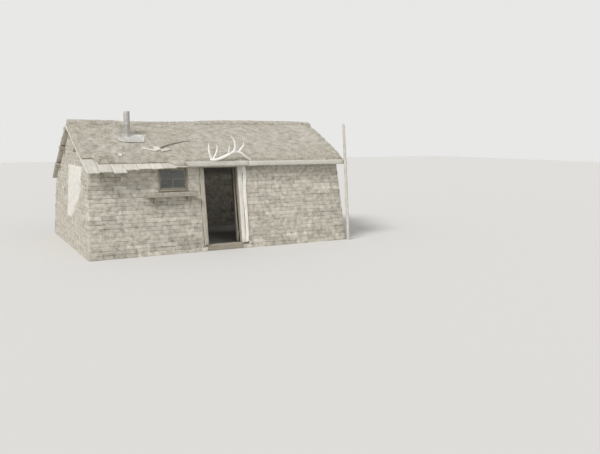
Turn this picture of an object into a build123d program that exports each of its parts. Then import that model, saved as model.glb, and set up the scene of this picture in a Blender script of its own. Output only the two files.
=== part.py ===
"""Prairie sod house with a plank and turf roof, one room, one door and one window.

Millimetres. X runs along the front wall, left to right as seen from outside, and Y runs into
the house. While it is built, the origin is the left front corner at wall-top level, brought
down to the ground. The finished model is moved so that the middle of its footprint is at 0, 0.
"""
from build123d import *
import math
import os

# Plan, measured at the tops of the outer wall faces
house_length = 6650.0
house_depth = 4600.0
ridge_y = 2150.0

# Heights above the ground
sill_height = 150.0
front_wall_top = 2070.0
back_wall_top = 1630.0
ridge_deck_z = 3053.0

# Sod walls
wall_thickness = 620.0
front_batter = 330.0
back_batter = 200.0
gable_batter = 120.0

# Wall plates under the roof boards
plate_width = 150.0
plate_height = 100.0
plate_bearing = 78.0
plank_thickness = 50.0
plank_gap = 4.0

# Logs
ridge_pole_radius = 95.0
purlin_radius = 72.0
hewn_flat = 8.0
log_overhang = 150.0
log_end_chamfer = 12.0
notch_clearance = 0.3
front_purlin_y = 1010.0
mid_purlin_share = 0.49
low_purlin_gap = 8.0

# Roof boards
board_count = 23
board_thickness = 25.0
board_gap = 6.0
left_verge = 110.0
right_verge = 240.0
front_overhang = 180.0
back_overhang = 180.0
bare_board_reach = (190.0, 165.0, 237.0, 100.0, 45.0, 70.0, 60.0)

# Turf on the roof
turf_thickness = 125.0
turf_step_x = 1960.0
left_turf_setback = 165.0
worn_corner_x = 185.0
worn_corner_setback = 270.0
worn_corner_run = 45.0
turf_step_before = 60.0
turf_step_after = 90.0
turf_nose = 90.0
turf_curve_count = 4
turf_verge_setback = 22.0
back_turf_setback = 25.0
turf_left_end = 70.0
turf_left_wear = 0.22
turf_right_eave_reach = -80.0
turf_right_ridge_reach = 105.0
right_end_length = 700.0
right_end_bulge = 72.0
edge_rise_share = 0.7
cap_half_width = 200.0
cap_count = 9
cap_gap = 8.0
cap_verge_inset = 25.0
cap_arc_count = 8

# Right end of the turf, from where it swells to the verge: share of its length left, wear, share of the bulge
right_end_shape = ((1.0, 0.0, 0.0), (0.5, 0.0, 0.8), (0.13, 0.04, 1.0), (0.0, 0.5, 0.5))

# Ridge sods: share of the house length, and height over the plain meeting line of the two turf slopes
ridge_profile = (
    (-0.0135, 8.0), (0.075, 24.0), (0.150, -6.0), (0.233, -26.0), (0.459, -8.0), (0.549, 31.0),
    (0.684, 52.0), (0.842, 45.0), (0.932, 50.0), (0.985, 86.0), (1.021, 66.0), (1.053, 14.0),
)

# Eave plank nailed over the board ends, in two lengths
eave_plank_start = 2230.0
eave_plank_joint = 3910.0
eave_plank_end = 6750.0
eave_plank_height = 120.0
eave_plank_lift = (20.0, 12.0)
eave_plank_thickness = 28.0
eave_plank_break = 90.0
plank_joint_gap = 5.0

# Doorway
door_left = 2775.0
door_width = 890.0
jamb_thickness = 35.0
jamb_depth = 130.0
head_thickness = 30.0
sill_depth = 150.0
stop_width = 12.0
stop_thickness = 26.0
door_clearance = 8.0
door_bottom_clearance = 15.0
splay_hinge_side = 28.0
splay_latch_side = 6.0
door_swing = 110.0

# Door leaf
leaf_boards = 5
leaf_thickness = 28.0
leaf_board_gap = 3.0
ledge_height = 130.0
ledge_thickness = 22.0
ledge_inset = 70.0
ledge_rise = 210.0
ledge_hinge_inset = 6.0
brace_gap = 4.0
brace_foot_inset = 40.0
brace_head_inset = 110.0
strap_length = 430.0
strap_height = 42.0
strap_thickness = 4.0
hinge_pin_radius = 6.0
hinge_eye_radius = 12.0
hinge_clearance = 0.3
hinge_offset = 4.0
pintle_height = 34.0
handle_height = 1120.0
handle_length = 250.0
handle_reach = 52.0
handle_radius = 9.0
handle_bend = 32.0
handle_inset = 70.0
handle_side_count = 8

# Casings on the wall face
casing_thickness = 22.0
casing_reveal = 8.0
left_casing_width = 110.0
right_casing_top = 235.0
right_casing_foot = 180.0

# Window
window_left = 1605.0
window_width = 750.0
window_sill = 1500.0
frame_thickness = 35.0
frame_depth = 110.0
sash_rail = 42.0
sash_thickness = 30.0
sash_setback = 34.0
glass_thickness = 3.0
seat_clearance = 0.3
window_splay = 15.0

# Shelf under the window
shelf_left = 1250.0
shelf_length = 1290.0
shelf_depth = 200.0
shelf_thickness = 26.0
shelf_top = 1405.0
bracket_inset = 210.0
bracket_thickness = 45.0
bracket_height = 150.0
bracket_nose_inset = 35.0

# Stovepipe
pipe_board = 4
pipe_board_share = 0.42
pipe_y = 1240.0
pipe_radius = 75.0
pipe_wall = 3.0
pipe_top = 3440.0
pipe_below_deck = 260.0
pipe_bead_height = 3.5
pipe_bead_width = 16.0
pipe_bead_below_top = (45.0, 330.0)
pipe_top_slant = 5.0
pipe_hole_clearance = 14.0
flashing_thickness = 3.0
collar_height = 60.0
collar_wall = 3.0

# Outline of the flashing in pipe radii: right of the pipe and up the slope from it
flashing_outline = (
    (-4.0, -2.4), (-3.7, -5.0), (-1.5, -6.1), (4.3, -5.9), (5.5, -1.1), (1.7, 1.4), (-1.6, 1.3), (-1.9, -1.1),
)

# Loose board ends on the turf: right of the pipe, down the slope, length, width, degrees turned
loose_board_thickness = 22.0
loose_board_lay = (
    (310.0, 885.0, 400.0, 78.0, -29.0),
    (519.0, 832.0, 160.0, 215.0, -6.0),
    (705.0, 925.0, 260.0, 100.0, 20.0),
    (-459.0, 1175.0, 95.0, 160.0, -15.0),
)

# Dead branch on the turf: bends, right of the pipe and down the slope
branch_radius = 15.0
branch_bend = 90.0
branch_bends = ((650.0, 785.0), (829.0, 667.0), (1109.0, 513.0), (1390.0, 419.0), (1521.0, 387.0))

# Antlers over the door, and the pole at the right front corner
antler_seat_x = 2930.0
antler_reach = 1000.0
antler_side_count = 8
antler_span_count = 6
skull_length = 96.0
skull_width = 40.0
skull_height = 44.0
pole_foot_x = 6800.0
pole_foot_y = -420.0
pole_eave_x = 6770.0
pole_top = 3185.0
pole_foot_radius = 42.0
pole_top_radius = 34.0
pole_point = 90.0
pole_tip_radius = 6.0
pole_side_count = 12
pole_plank_gap = 0.2

# How far cutting shapes reach past what they cut
cut_over = 50.0
cut_margin = 900.0

# Worked out from the sizes above
lean = math.atan(front_batter / front_wall_top)
door_right = door_left + door_width
door_top = front_wall_top - head_thickness
front_slope = (ridge_deck_z - front_wall_top - plate_bearing) / ridge_y
back_slope = (ridge_deck_z - back_wall_top - plate_bearing) / (house_depth - ridge_y)
front_pitch = math.atan(front_slope)
back_pitch = math.atan(back_slope)
deck_left = -left_verge
deck_right = house_length + right_verge
board_pitch = (deck_right - deck_left) / board_count
inner_back_y = house_depth - wall_thickness
back_purlin_y = (
    ridge_y + mid_purlin_share * (inner_back_y - ridge_y),
    inner_back_y - purlin_radius - low_purlin_gap,
)
pipe_x = deck_left + (pipe_board + pipe_board_share) * board_pitch
over_roof = 2 * pipe_top


def deck_under(y):
    """Height of the underside of the roof boards."""
    if y < ridge_y:
        return ridge_deck_z - front_slope * (ridge_y - y)
    return ridge_deck_z - back_slope * (y - ridge_y)


def deck_top(y):
    pitch = front_pitch if y < ridge_y else back_pitch
    return deck_under(y) + board_thickness / math.cos(pitch)


def turf_top(y):
    pitch = front_pitch if y < ridge_y else back_pitch
    return deck_top(y) + turf_thickness / math.cos(pitch)


def face_y(z):
    """Y of the battered front face of the wall at a height."""
    return -front_batter * (1.0 - z / front_wall_top)


def block(x0, x1, y0, y1, z0, z1):
    return Pos((x0 + x1) / 2, (y0 + y1) / 2, (z0 + z1) / 2) * Box(x1 - x0, y1 - y0, z1 - z0)


def prism_x(points, x0, x1):
    """A Y-Z outline drawn out along X."""
    outline = make_face(Polyline(*points, close=True))
    return extrude(Plane.YZ.offset(x0) * outline, amount=x1 - x0, dir=(1, 0, 0))


def prism_y(points, y0, y1):
    """An X-Z outline drawn out along Y."""
    outline = make_face(Polyline(*points, close=True))
    return Pos(0, y1, 0) * extrude(Plane.XZ * outline, amount=y1 - y0, dir=(0, -1, 0))


def leaning_points(w0, w1, z0, z1):
    """Outline of a board parallel to the battered face, w outwards from it, ends level."""
    across = 1.0 / math.cos(lean)
    return [
        (face_y(z0) - w0 * across, z0),
        (face_y(z0) - w1 * across, z0),
        (face_y(z1) - w1 * across, z1),
        (face_y(z1) - w0 * across, z1),
    ]


def leaning_board(x0, x1, w0, w1, z0, z1):
    return prism_x(leaning_points(w0, w1, z0, z1), x0, x1)


def face_point(x, z, w):
    """A point w outwards from the battered face, at the face's height z."""
    return Vector(x, face_y(z) - w * math.cos(lean), z + w * math.sin(lean))


def above_deck():
    """All the space over the underside of the roof boards."""
    y0, y1 = -cut_margin, house_depth + cut_margin
    points = [(y0, deck_under(y0)), (ridge_y, ridge_deck_z), (y1, deck_under(y1)), (y1, over_roof), (y0, over_roof)]
    return prism_x(points, -cut_margin, house_length + cut_margin)


def opening_cut(x0, x1, depth, splay_left, splay_right, z0, z1):
    """The hole for a frame at the wall face, splayed behind it and leaning with the wall."""
    far = wall_thickness + cut_margin
    behind = far - depth
    left_in = x0 - behind * math.tan(math.radians(splay_left))
    right_in = x1 + behind * math.tan(math.radians(splay_right))
    plan = [(x0, far), (x1, far), (x1, -depth), (right_in, -far), (left_in, -far), (x0, -depth)]
    outline = make_face(Polyline(*[(x, face_y(z0) - w) for x, w in plan], close=True))
    up = Vector(0, math.sin(lean), math.cos(lean))
    return extrude(Pos(0, 0, z0) * outline, amount=(z1 - z0) / math.cos(lean), dir=up)


def log(y, z, radius):
    """A round pole along the house, hewn flat where the roof boards bear on it."""
    length = house_length + 2 * log_overhang
    pole = Cylinder(radius, length)
    pole = chamfer(pole.edges().filter_by(GeomType.CIRCLE), log_end_chamfer)
    pole = Pos(house_length / 2, y, z) * Rot(0, 90, 0) * pole
    return pole - above_deck()


def log_centre(y, radius):
    pitch = front_pitch if y <= ridge_y else back_pitch
    return deck_under(y) - (radius - hewn_flat) / math.cos(pitch)


def notch(y, radius):
    """The bed of a log across the gable walls."""
    bed = Cylinder(radius + notch_clearance, house_length + 4 * log_overhang)
    return Pos(house_length / 2, y, log_centre(y, radius)) * Rot(0, 90, 0) * bed


def gable_wall(outer, inward):
    """An end wall, battered on its three outer faces, notched for the logs."""
    side = [
        (-front_batter, 0), (0, front_wall_top), (wall_thickness, front_wall_top),
        (wall_thickness, over_roof), (inner_back_y, over_roof), (inner_back_y, back_wall_top),
        (house_depth, back_wall_top), (house_depth + back_batter, 0),
    ]
    foot = outer - inward * gable_batter
    inside = outer + inward * wall_thickness
    wall = prism_x(side, min(foot, inside), max(foot, inside))
    batter_cut = [(foot, 0), (outer, front_wall_top), (outer, over_roof), (foot, over_roof)]
    reach = house_depth + cut_margin
    wall = wall - prism_y(batter_cut, -reach, reach)
    wall = wall - above_deck()
    wall = wall - notch(ridge_y, ridge_pole_radius)
    for y in (front_purlin_y,) + back_purlin_y:
        wall = wall - notch(y, purlin_radius)
    return wall


def front_walls():
    """The front wall either side of the doorway, with the window notch in the left part."""
    profile = [(-front_batter, 0), (0, front_wall_top), (wall_thickness, front_wall_top), (wall_thickness, 0)]
    wall = prism_x(profile, wall_thickness, house_length - wall_thickness)
    doorway = opening_cut(
        door_left - jamb_thickness, door_right + jamb_thickness, jamb_depth,
        splay_latch_side, splay_hinge_side, -cut_over, front_wall_top + cut_over)
    window = opening_cut(
        window_left, window_left + window_width, frame_depth,
        window_splay, window_splay, window_sill, front_wall_top + cut_over)
    pieces = (wall - doorway - window).solids().sort_by(Axis.X)
    return pieces[0], pieces[-1]


def back_wall():
    profile = [(inner_back_y, 0), (inner_back_y, back_wall_top), (house_depth, back_wall_top),
               (house_depth + back_batter, 0)]
    return prism_x(profile, wall_thickness, house_length - wall_thickness)


def wall_plate(outer, inward, top):
    """A beam bevelled under the roof boards and two planks behind it, on a wall's top."""
    beam = block(0, house_length, min(outer, outer + inward * plate_width),
                 max(outer, outer + inward * plate_width), top, top + plate_height)
    pieces = [(beam - above_deck()).solid()]
    plank_width = (wall_thickness - plate_width - 2 * plank_gap) / 2
    for k in range(2):
        near = outer + inward * (plate_width + plank_gap + k * (plank_width + plank_gap))
        far = near + inward * plank_width
        pieces.append(block(0, house_length, min(near, far), max(near, far), top, top + plank_thickness).solid())
    return Compound(children=pieces)


def eave_fill(outer, inward, top):
    """Sod packed between the plate planks and the roof boards."""
    near = outer + inward * (plate_width + plank_gap)
    far = outer + inward * wall_thickness
    base = top + plank_thickness
    points = [(near, base), (far, base), (far, deck_under(far)), (near, deck_under(near))]
    return prism_x(points, 0, house_length)


def pipe_hole():
    """Clear way for the stovepipe through boards and turf."""
    hole = Cylinder(pipe_radius + pipe_hole_clearance, 2 * cut_margin)
    return Pos(pipe_x, pipe_y, deck_top(pipe_y)) * hole


def front_boards():
    """Boards down the front slope. Those left of the eave plank end bare and uneven."""
    boards = []
    for k in range(board_count):
        x0 = deck_left + k * board_pitch + board_gap / 2
        reach = front_overhang
        if x0 + board_pitch < eave_plank_start:
            reach += bare_board_reach[k % len(bare_board_reach)]
        y0 = -reach
        y1 = ridge_y - board_gap / 2
        outline = [(y0, deck_under(y0)), (y0, deck_top(y0)), (y1, deck_top(y1)), (y1, deck_under(y1))]
        boards.append(prism_x(outline, x0, x0 + board_pitch - board_gap))
    return Compound(children=[(b - pipe_hole()).solid() for b in boards])


def back_boards():
    boards = []
    y0 = ridge_y + board_gap / 2
    y1 = house_depth + back_overhang
    outline = [(y0, deck_under(y0)), (y0, deck_top(y0)), (y1, deck_top(y1)), (y1, deck_under(y1))]
    for k in range(board_count):
        x0 = deck_left + k * board_pitch + board_gap / 2
        boards.append(prism_x(outline, x0, x0 + board_pitch - board_gap).solid())
    return Compound(children=boards)


def ridge_rise(x):
    """Height of the ridge sods at a place along the house, read off the ridge profile."""
    place = x / house_length
    if place <= ridge_profile[0][0]:
        return ridge_profile[0][1]
    for (share0, rise0), (share1, rise1) in zip(ridge_profile, ridge_profile[1:]):
        if place <= share1:
            return rise0 + (rise1 - rise0) * (place - share0) / (share1 - share0)
    return ridge_profile[-1][1]


def turf_edge_rise(x):
    """The turf right of the step swells with the ridge sods; left of it the slope stays plain."""
    return max(0.0, edge_rise_share * ridge_rise(x)) if x > turf_step_x else 0.0


def turf_section(x, skew, eave, inward, wear, bulge):
    """One cut across a turf slope: a rounded nose at the eave, arched by bulge, upright at the ridge.

    The cut leans out by skew from the eave to the ridge, so a verge need not be square.
    """
    upper = ridge_y - inward * cap_half_width
    nose = eave + inward * turf_nose * (1.0 + 0.5 * wear)
    rise = turf_edge_rise(x + skew)

    def at(y, z):
        return (x + skew * (y - eave) / (upper - eave), y, z)

    def height(y):
        """The turf's top at a place up the slope, worn down towards the boards."""
        share = (y - nose) / (upper - nose)
        arch = 4 * share * (1.0 - share) * bulge + share * rise
        return deck_top(y) + (1.0 - wear) * (turf_top(y) - deck_top(y) + arch)

    over = nose + (upper - nose) / turf_curve_count
    climb = (height(over) - height(nose)) / (over - nose)
    brow = height(nose) - climb * (nose - eave)
    steps = [k / turf_curve_count for k in range(turf_curve_count + 1)]
    outline = [at(upper, deck_top(upper))]
    for t in steps:
        y = eave + t * t * (nose - eave)
        z = (1 - t) ** 2 * deck_top(eave) + 2 * t * (1 - t) * brow + t * t * height(nose)
        outline.append(at(y, z))
    outline += [at(nose + t * (upper - nose), height(nose + t * (upper - nose))) for t in steps[1:]]
    return make_face(Polyline(*outline, close=True))


def turf_slope(eave_at, eave_steps, inward, right_bulge):
    """Turf on one slope, lofted from verge to verge, with the eave's steps and a fuller right end."""
    left_x = deck_left + turf_verge_setback
    right_x = deck_right + turf_right_eave_reach
    skew = turf_right_ridge_reach - turf_right_eave_reach
    last_step = eave_steps[-1]
    swells = [share * house_length for share, rise in ridge_profile]
    swells = [x for x in swells if last_step + cap_gap < x < right_x - right_end_length - cap_gap]
    sections = [turf_section(left_x, 0.0, eave_at(left_x), inward, turf_left_wear, 0.0)]
    for x in [left_x + turf_left_end, *eave_steps, *swells]:
        sections.append(turf_section(x, 0.0, eave_at(x), inward, 0.0, 0.0))
    for share, wear, fullness in right_end_shape:
        x = right_x - share * right_end_length
        sections.append(turf_section(x, skew * (1.0 - share), eave_at(x), inward, wear, right_bulge * fullness))
    return loft(sections, ruled=True)


def front_turf_eave(x):
    """The turf stops short of the bare board ends at the left, and more at the worn corner."""
    if x <= worn_corner_x:
        return -front_overhang + left_turf_setback + worn_corner_setback
    if x < turf_step_x:
        return -front_overhang + left_turf_setback
    return -front_overhang


def back_turf_eave(x):
    return house_depth + back_overhang - back_turf_setback


def ridge_turf():
    """Sods laid astride the ridge, following the ridge profile, each bedded between the turf slopes."""
    x0 = deck_left + turf_verge_setback + cap_verge_inset
    x1 = deck_right + turf_right_ridge_reach - cap_verge_inset
    pitch = (x1 - x0) / cap_count
    half = cap_half_width - seat_clearance

    def section(x):
        """A hump over the ridge: from the front slope's turf up to the ridge profile and down again."""
        outline = [(ridge_y + half, deck_top(ridge_y + half)), (ridge_y, deck_top(ridge_y)),
                   (ridge_y - half, deck_top(ridge_y - half))]
        peak = turf_top(ridge_y) + ridge_rise(x)
        for k in range(cap_arc_count + 1):
            across = 2 * k / cap_arc_count - 1.0
            side = turf_top(ridge_y + math.copysign(half, across)) + turf_edge_rise(x)
            outline.append((ridge_y + across * half, peak + (side - peak) * across * across))
        return Plane.YZ.offset(x) * make_face(Polyline(*outline, close=True))

    sods = []
    for k in range(cap_count):
        start = x0 + k * pitch
        sods.append(loft([section(start), section(start + pitch - cap_gap)], ruled=True).solid())
    return Compound(children=sods)


def eave_plank():
    """Two planks that hold the turf, the left one higher and broken off at a slant."""
    y1 = -front_overhang
    y0 = y1 - eave_plank_thickness
    low, next_low = [front_wall_top + lift for lift in eave_plank_lift]
    outline = [(eave_plank_start, low + eave_plank_height), (eave_plank_start + eave_plank_break, low),
               (eave_plank_joint, low), (eave_plank_joint, low + eave_plank_height)]
    first = prism_y(outline, y0, y1)
    second = block(eave_plank_joint + plank_joint_gap, eave_plank_end, y0, y1, next_low, next_low + eave_plank_height)
    return Compound(children=[first.solid(), second.solid()])


def doorway_parts():
    """Sill, jambs with their stops, head and casings."""
    parts = {}
    left_out = door_left - jamb_thickness
    right_out = door_right + jamb_thickness
    stop_w1 = -jamb_depth + leaf_thickness + door_clearance
    stop_w2 = stop_w1 + stop_thickness
    front = face_y(sill_height)
    parts["door_sill"] = block(left_out, right_out, front, front + sill_depth, 0, sill_height)
    z0, z1 = sill_height, door_top
    left = leaning_board(left_out, door_left, -jamb_depth, 0, z0, z1)
    left += leaning_board(door_left, door_left + stop_width, stop_w1, stop_w2, z0, z1)
    right = leaning_board(door_right, right_out, -jamb_depth, 0, z0, z1)
    right += leaning_board(door_right - stop_width, door_right, stop_w1, stop_w2, z0, z1)
    parts["door_jamb_left"] = left
    parts["door_jamb_right"] = right
    parts["door_head"] = leaning_board(left_out, right_out, -jamb_depth, 0, door_top, front_wall_top)
    casing_in = door_left - casing_reveal
    parts["door_casing_left"] = leaning_board(
        casing_in - left_casing_width, casing_in, 0, casing_thickness, sill_height, front_wall_top)
    casing_in = door_right + casing_reveal
    wide = leaning_board(casing_in, casing_in + right_casing_top, 0, casing_thickness,
                         sill_height, front_wall_top)
    taper = [(casing_in + right_casing_foot, sill_height), (casing_in + right_casing_top, front_wall_top),
             (casing_in + door_width, front_wall_top), (casing_in + door_width, sill_height)]
    parts["door_casing_right"] = wide - prism_y(taper, -house_depth, house_depth)
    return parts


def hinge_axis():
    """The leaning line through both hinge pins, just behind the leaf's ledges."""
    w = -jamb_depth - ledge_thickness - strap_thickness / 2
    foot = face_point(door_right + hinge_offset, sill_height, w)
    return Axis(foot, Vector(0, math.sin(lean), math.cos(lean)))


def at_hinge(z):
    """Point on the hinge line at a height."""
    axis = hinge_axis()
    along = (z - axis.position.Z) / axis.direction.Z
    return axis.position + axis.direction * along


def ledge_heights():
    low = sill_height + ledge_rise
    return (low, door_top - ledge_rise)


def upright_at(point):
    """A frame whose Z is the hinge line's direction and whose X is along the wall."""
    return Plane(origin=point, x_dir=(1, 0, 0), z_dir=(0, math.sin(lean), math.cos(lean)))


def door_leaf_parts():
    """The leaf drawn shut, then swung open about its hinge line."""
    parts = {}
    x0 = door_left + door_clearance
    x1 = door_right - door_clearance
    z0 = sill_height + door_bottom_clearance
    z1 = door_top - door_clearance
    width = (x1 - x0 + leaf_board_gap) / leaf_boards
    inner = -jamb_depth
    boards = []
    for k in range(leaf_boards):
        a = x0 + k * width
        boards.append(leaning_board(a, a + width - leaf_board_gap, inner, inner + leaf_thickness, z0, z1))
    parts["door_boards"] = Compound(children=[b.solid() for b in boards])

    ledges = []
    back = inner - ledge_thickness
    for z in ledge_heights():
        ledges.append(leaning_board(x0 + ledge_inset, x1 - ledge_hinge_inset, back, inner,
                                    z - ledge_height / 2, z + ledge_height / 2).solid())
    low, high = ledge_heights()
    foot = low + ledge_height / 2 + brace_gap
    head = high - ledge_height / 2 - brace_gap
    foot_x = x1 - brace_foot_inset
    head_x = x0 + brace_head_inset
    slant = [(foot_x, foot), (foot_x - ledge_height, foot), (head_x, head), (head_x + ledge_height, head)]
    brace = leaning_board(x0, x1, back, inner, z0, z1) & prism_y(slant, -house_depth, house_depth)
    ledges.append(brace.solid())
    parts["door_ledges"] = Compound(children=ledges)

    straps = []
    for z in ledge_heights():
        centre = at_hinge(z)
        place = upright_at(centre)
        strap = Pos(-strap_length / 2, 0, 0) * Box(strap_length, strap_thickness, strap_height)
        eye = Cylinder(hinge_eye_radius, strap_height)
        strap = strap + eye - Cylinder(hinge_pin_radius + hinge_clearance, strap_height * 2)
        straps.append((place * strap).solid())
    parts["hinge_straps"] = Compound(children=straps)

    grip_x = x0 + handle_inset
    half = handle_length / 2
    face_w = inner + leaf_thickness
    points = [
        face_point(grip_x, handle_height - half, face_w),
        face_point(grip_x, handle_height - half + handle_bend / 2, face_w + handle_reach),
        face_point(grip_x, handle_height + half - handle_bend / 2, face_w + handle_reach),
        face_point(grip_x, handle_height + half, face_w),
    ]
    path = FilletPolyline(*points, radius=handle_bend)
    start = Plane(origin=path @ 0, z_dir=path % 0, x_dir=(1, 0, 0))
    bar = sweep(start * RegularPolygon(handle_radius, handle_side_count), path=path)
    root = leaning_board(grip_x - handle_reach, grip_x + handle_reach, inner, face_w, z0, z1)
    parts["door_handle"] = bar - root

    axis = hinge_axis()
    return {name: shape.rotate(axis, -door_swing) for name, shape in parts.items()}


def hinge_pintles():
    """Pins on plates fixed to the inner edge of the right jamb, with a shoulder under each eye."""
    pintles = []
    plate_reach = ledge_thickness + strap_thickness / 2
    for z in ledge_heights():
        place = upright_at(at_hinge(z))
        shoulder_z = -strap_height / 2 - seat_clearance - pintle_height / 2
        shoulder = Pos(0, 0, shoulder_z) * Cylinder(hinge_eye_radius, pintle_height)
        arm = Pos(jamb_thickness / 2 - hinge_offset, -plate_reach / 2, shoulder_z) * Box(
            jamb_thickness, plate_reach, pintle_height)
        pin = Pos(0, 0, -pintle_height / 2) * Cylinder(hinge_pin_radius, strap_height + pintle_height)
        pintles.append((place * (pin + shoulder + arm)).solid())
    return Compound(children=pintles)


def window_parts():
    """Frame ring, sash ring and glass, all leaning with the wall face."""
    x0, x1 = window_left, window_left + window_width
    z0, z1 = window_sill, front_wall_top
    t = frame_thickness
    parts = {}
    ring = leaning_board(x0, x1, -frame_depth, 0, z0, z1)
    parts["window_frame"] = ring - leaning_board(
        x0 + t, x1 - t, -frame_depth - cut_over, cut_over, z0 + t, z1 - t)
    c = seat_clearance
    w1 = -sash_setback
    w0 = w1 - sash_thickness
    a0, a1, b0, b1 = x0 + t + c, x1 - t - c, z0 + t + c, z1 - t - c
    rail = sash_rail
    sash = leaning_board(a0, a1, w0, w1, b0, b1)
    parts["window_sash"] = sash - leaning_board(
        a0 + rail, a1 - rail, w0 - cut_over, w1 + cut_over, b0 + rail, b1 - rail)
    mid = (w0 + w1) / 2
    parts["window_glass"] = leaning_board(
        a0 + rail + c, a1 - rail - c, mid - glass_thickness / 2, mid + glass_thickness / 2,
        b0 + rail + c, b1 - rail - c)
    return parts


def shelf_parts():
    """A shelf board against the battered wall on two triangular brackets."""
    x0, x1 = shelf_left, shelf_left + shelf_length
    top, low = shelf_top, shelf_top - shelf_thickness
    front = face_y(top) - shelf_depth
    board = [(face_y(low), low), (front, low), (front, top), (face_y(top), top)]
    side = [(face_y(low), low), (front + bracket_nose_inset, low), (face_y(low - bracket_height), low - bracket_height)]
    brackets = []
    for x in (x0 + bracket_inset, x1 - bracket_inset - bracket_thickness):
        brackets.append(prism_x(side, x, x + bracket_thickness).solid())
    return {"window_shelf": prism_x(board, x0, x1), "shelf_brackets": Compound(children=brackets)}


def stovepipe():
    """Sheet-iron pipe with a raised bead near each joint and a top cut a little askew."""
    base = deck_top(pipe_y) - pipe_below_deck
    outer = pipe_radius
    pipe = Pos(pipe_x, pipe_y, (base + pipe_top) / 2) * Cylinder(outer, pipe_top - base)
    half = pipe_bead_width / 2
    lip = outer + pipe_bead_height
    outline = [(outer - 1, -half), (outer, -half), (lip, -half / 4), (lip, half / 4), (outer, half), (outer - 1, half)]
    bead = revolve(Plane.XZ * make_face(Polyline(*outline, close=True)), axis=Axis.Z)
    for below in pipe_bead_below_top:
        pipe = pipe + Pos(pipe_x, pipe_y, pipe_top - below) * bead
    pipe = pipe - Pos(pipe_x, pipe_y, pipe_top) * Cylinder(outer - pipe_wall, 2 * pipe_top)
    over = 4 * outer
    slant = Pos(pipe_x, pipe_y, pipe_top) * Rot(0, -pipe_top_slant, 0) * Pos(0, 0, over / 2) * Box(over, over, over)
    return pipe - slant


def roof_top_plane():
    """The plain upper face of the front turf at the pipe: X to the right, Y up the slope."""
    return Plane(origin=(pipe_x, pipe_y, turf_top(pipe_y)), x_dir=(1, 0, 0),
                 z_dir=(0, -math.sin(front_pitch), math.cos(front_pitch)))


def pipe_flashing():
    """Sheet lying on the turf round the pipe, cut to a point at the left, with a collar."""
    place = roof_top_plane()
    sheet = make_face(Polyline(*[(x * pipe_radius, y * pipe_radius) for x, y in flashing_outline], close=True))
    sheet = extrude(place * sheet, amount=flashing_thickness)
    bore = pipe_radius + seat_clearance
    at_pipe = Pos(*place.origin)
    ring = at_pipe * Cylinder(bore + collar_wall, 2 * collar_height)
    under = place * Pos(0, 0, -pipe_below_deck) * Box(9 * bore, 9 * bore, 2 * pipe_below_deck)
    return sheet + (ring - under) - at_pipe * Cylinder(bore, 4 * pipe_below_deck)


def loose_boards():
    """Board ends lying on the turf below the pipe."""
    boards = []
    for right, down, length, width, turn in loose_board_lay:
        board = Pos(right, -down, loose_board_thickness / 2) * Rot(0, 0, turn)
        board = board * Box(length, width, loose_board_thickness)
        boards.append((roof_top_plane() * board).solid())
    return Compound(children=boards)


def roof_branch():
    """A crooked dead branch lying up the slope."""
    place = roof_top_plane()
    lift = branch_radius + seat_clearance
    bends = [place.from_local_coords(Vector(right, -down, lift)) for right, down in branch_bends]
    path = FilletPolyline(*bends, radius=branch_bend)
    start = Plane(origin=path @ 0, z_dir=path % 0)
    return sweep(start * Circle(branch_radius), path=path)


def limb(points, root_radius, tip_radius):
    """A tapering curved limb: many-sided sections along a spline, joined by a smooth loft."""
    path = Spline(*points)
    sections = []
    for k in range(antler_span_count + 1):
        share = k / antler_span_count
        radius = root_radius + (tip_radius - root_radius) * share ** 1.3
        place = Plane(origin=path @ share, z_dir=path % share, x_dir=(0, 1, 0))
        sections.append(place * RegularPolygon(radius, antler_side_count))
    return loft(sections)


def antlers():
    """A pair of antlers on their skull piece, which sits on the top edge of the eave plank.

    The points are thousandths of the antlers' reach: right of the seat, inwards and up.
    """
    plank_top = front_wall_top + eave_plank_lift[0] + eave_plank_height
    seat = Vector(antler_seat_x, -front_overhang - eave_plank_thickness / 2, plank_top)
    unit = antler_reach / 1000.0
    horns = Pos(*seat) * Pos(0, 0, skull_height / 2) * Box(skull_length, skull_width, skull_height)
    horns = fillet(horns.edges().filter_by(Axis.Z), 0.4 * skull_width)
    limbs = [
        ([(0, 0, 24), (-48, -14, 130), (-86, -34, 235), (-92, -20, 428)], 27, 10),
        ([(0, 0, 24), (160, -10, 54), (300, -20, 100), (437, -24, 164), (570, -10, 225), (727, 14, 228)], 32, 25),
        ([(690, 6, 228), (800, -2, 180), (900, -2, 98), (1032, 0, 22)], 25, 9),
        ([(30, -6, 48), (75, -40, 160), (114, -60, 280), (112, -66, 345), (78, -62, 398)], 19, 7),
        ([(425, -22, 152), (430, -50, 250), (434, -66, 377)], 18, 7),
        ([(575, -10, 225), (598, -40, 345), (567, -60, 495), (484, -62, 632)], 24, 7),
        ([(720, 10, 220), (768, -24, 305), (822, -46, 380), (824, -50, 464)], 22, 7),
    ]
    for points, root, tip in limbs:
        path = [seat + Vector(*point) * unit for point in points]
        horns = horns + limb(path, root * unit, tip * unit)
    below = Pos(*seat) * Pos(0, 0, -antler_reach) * Box(4 * antler_reach, antler_reach, 2 * antler_reach)
    return horns - below


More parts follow.
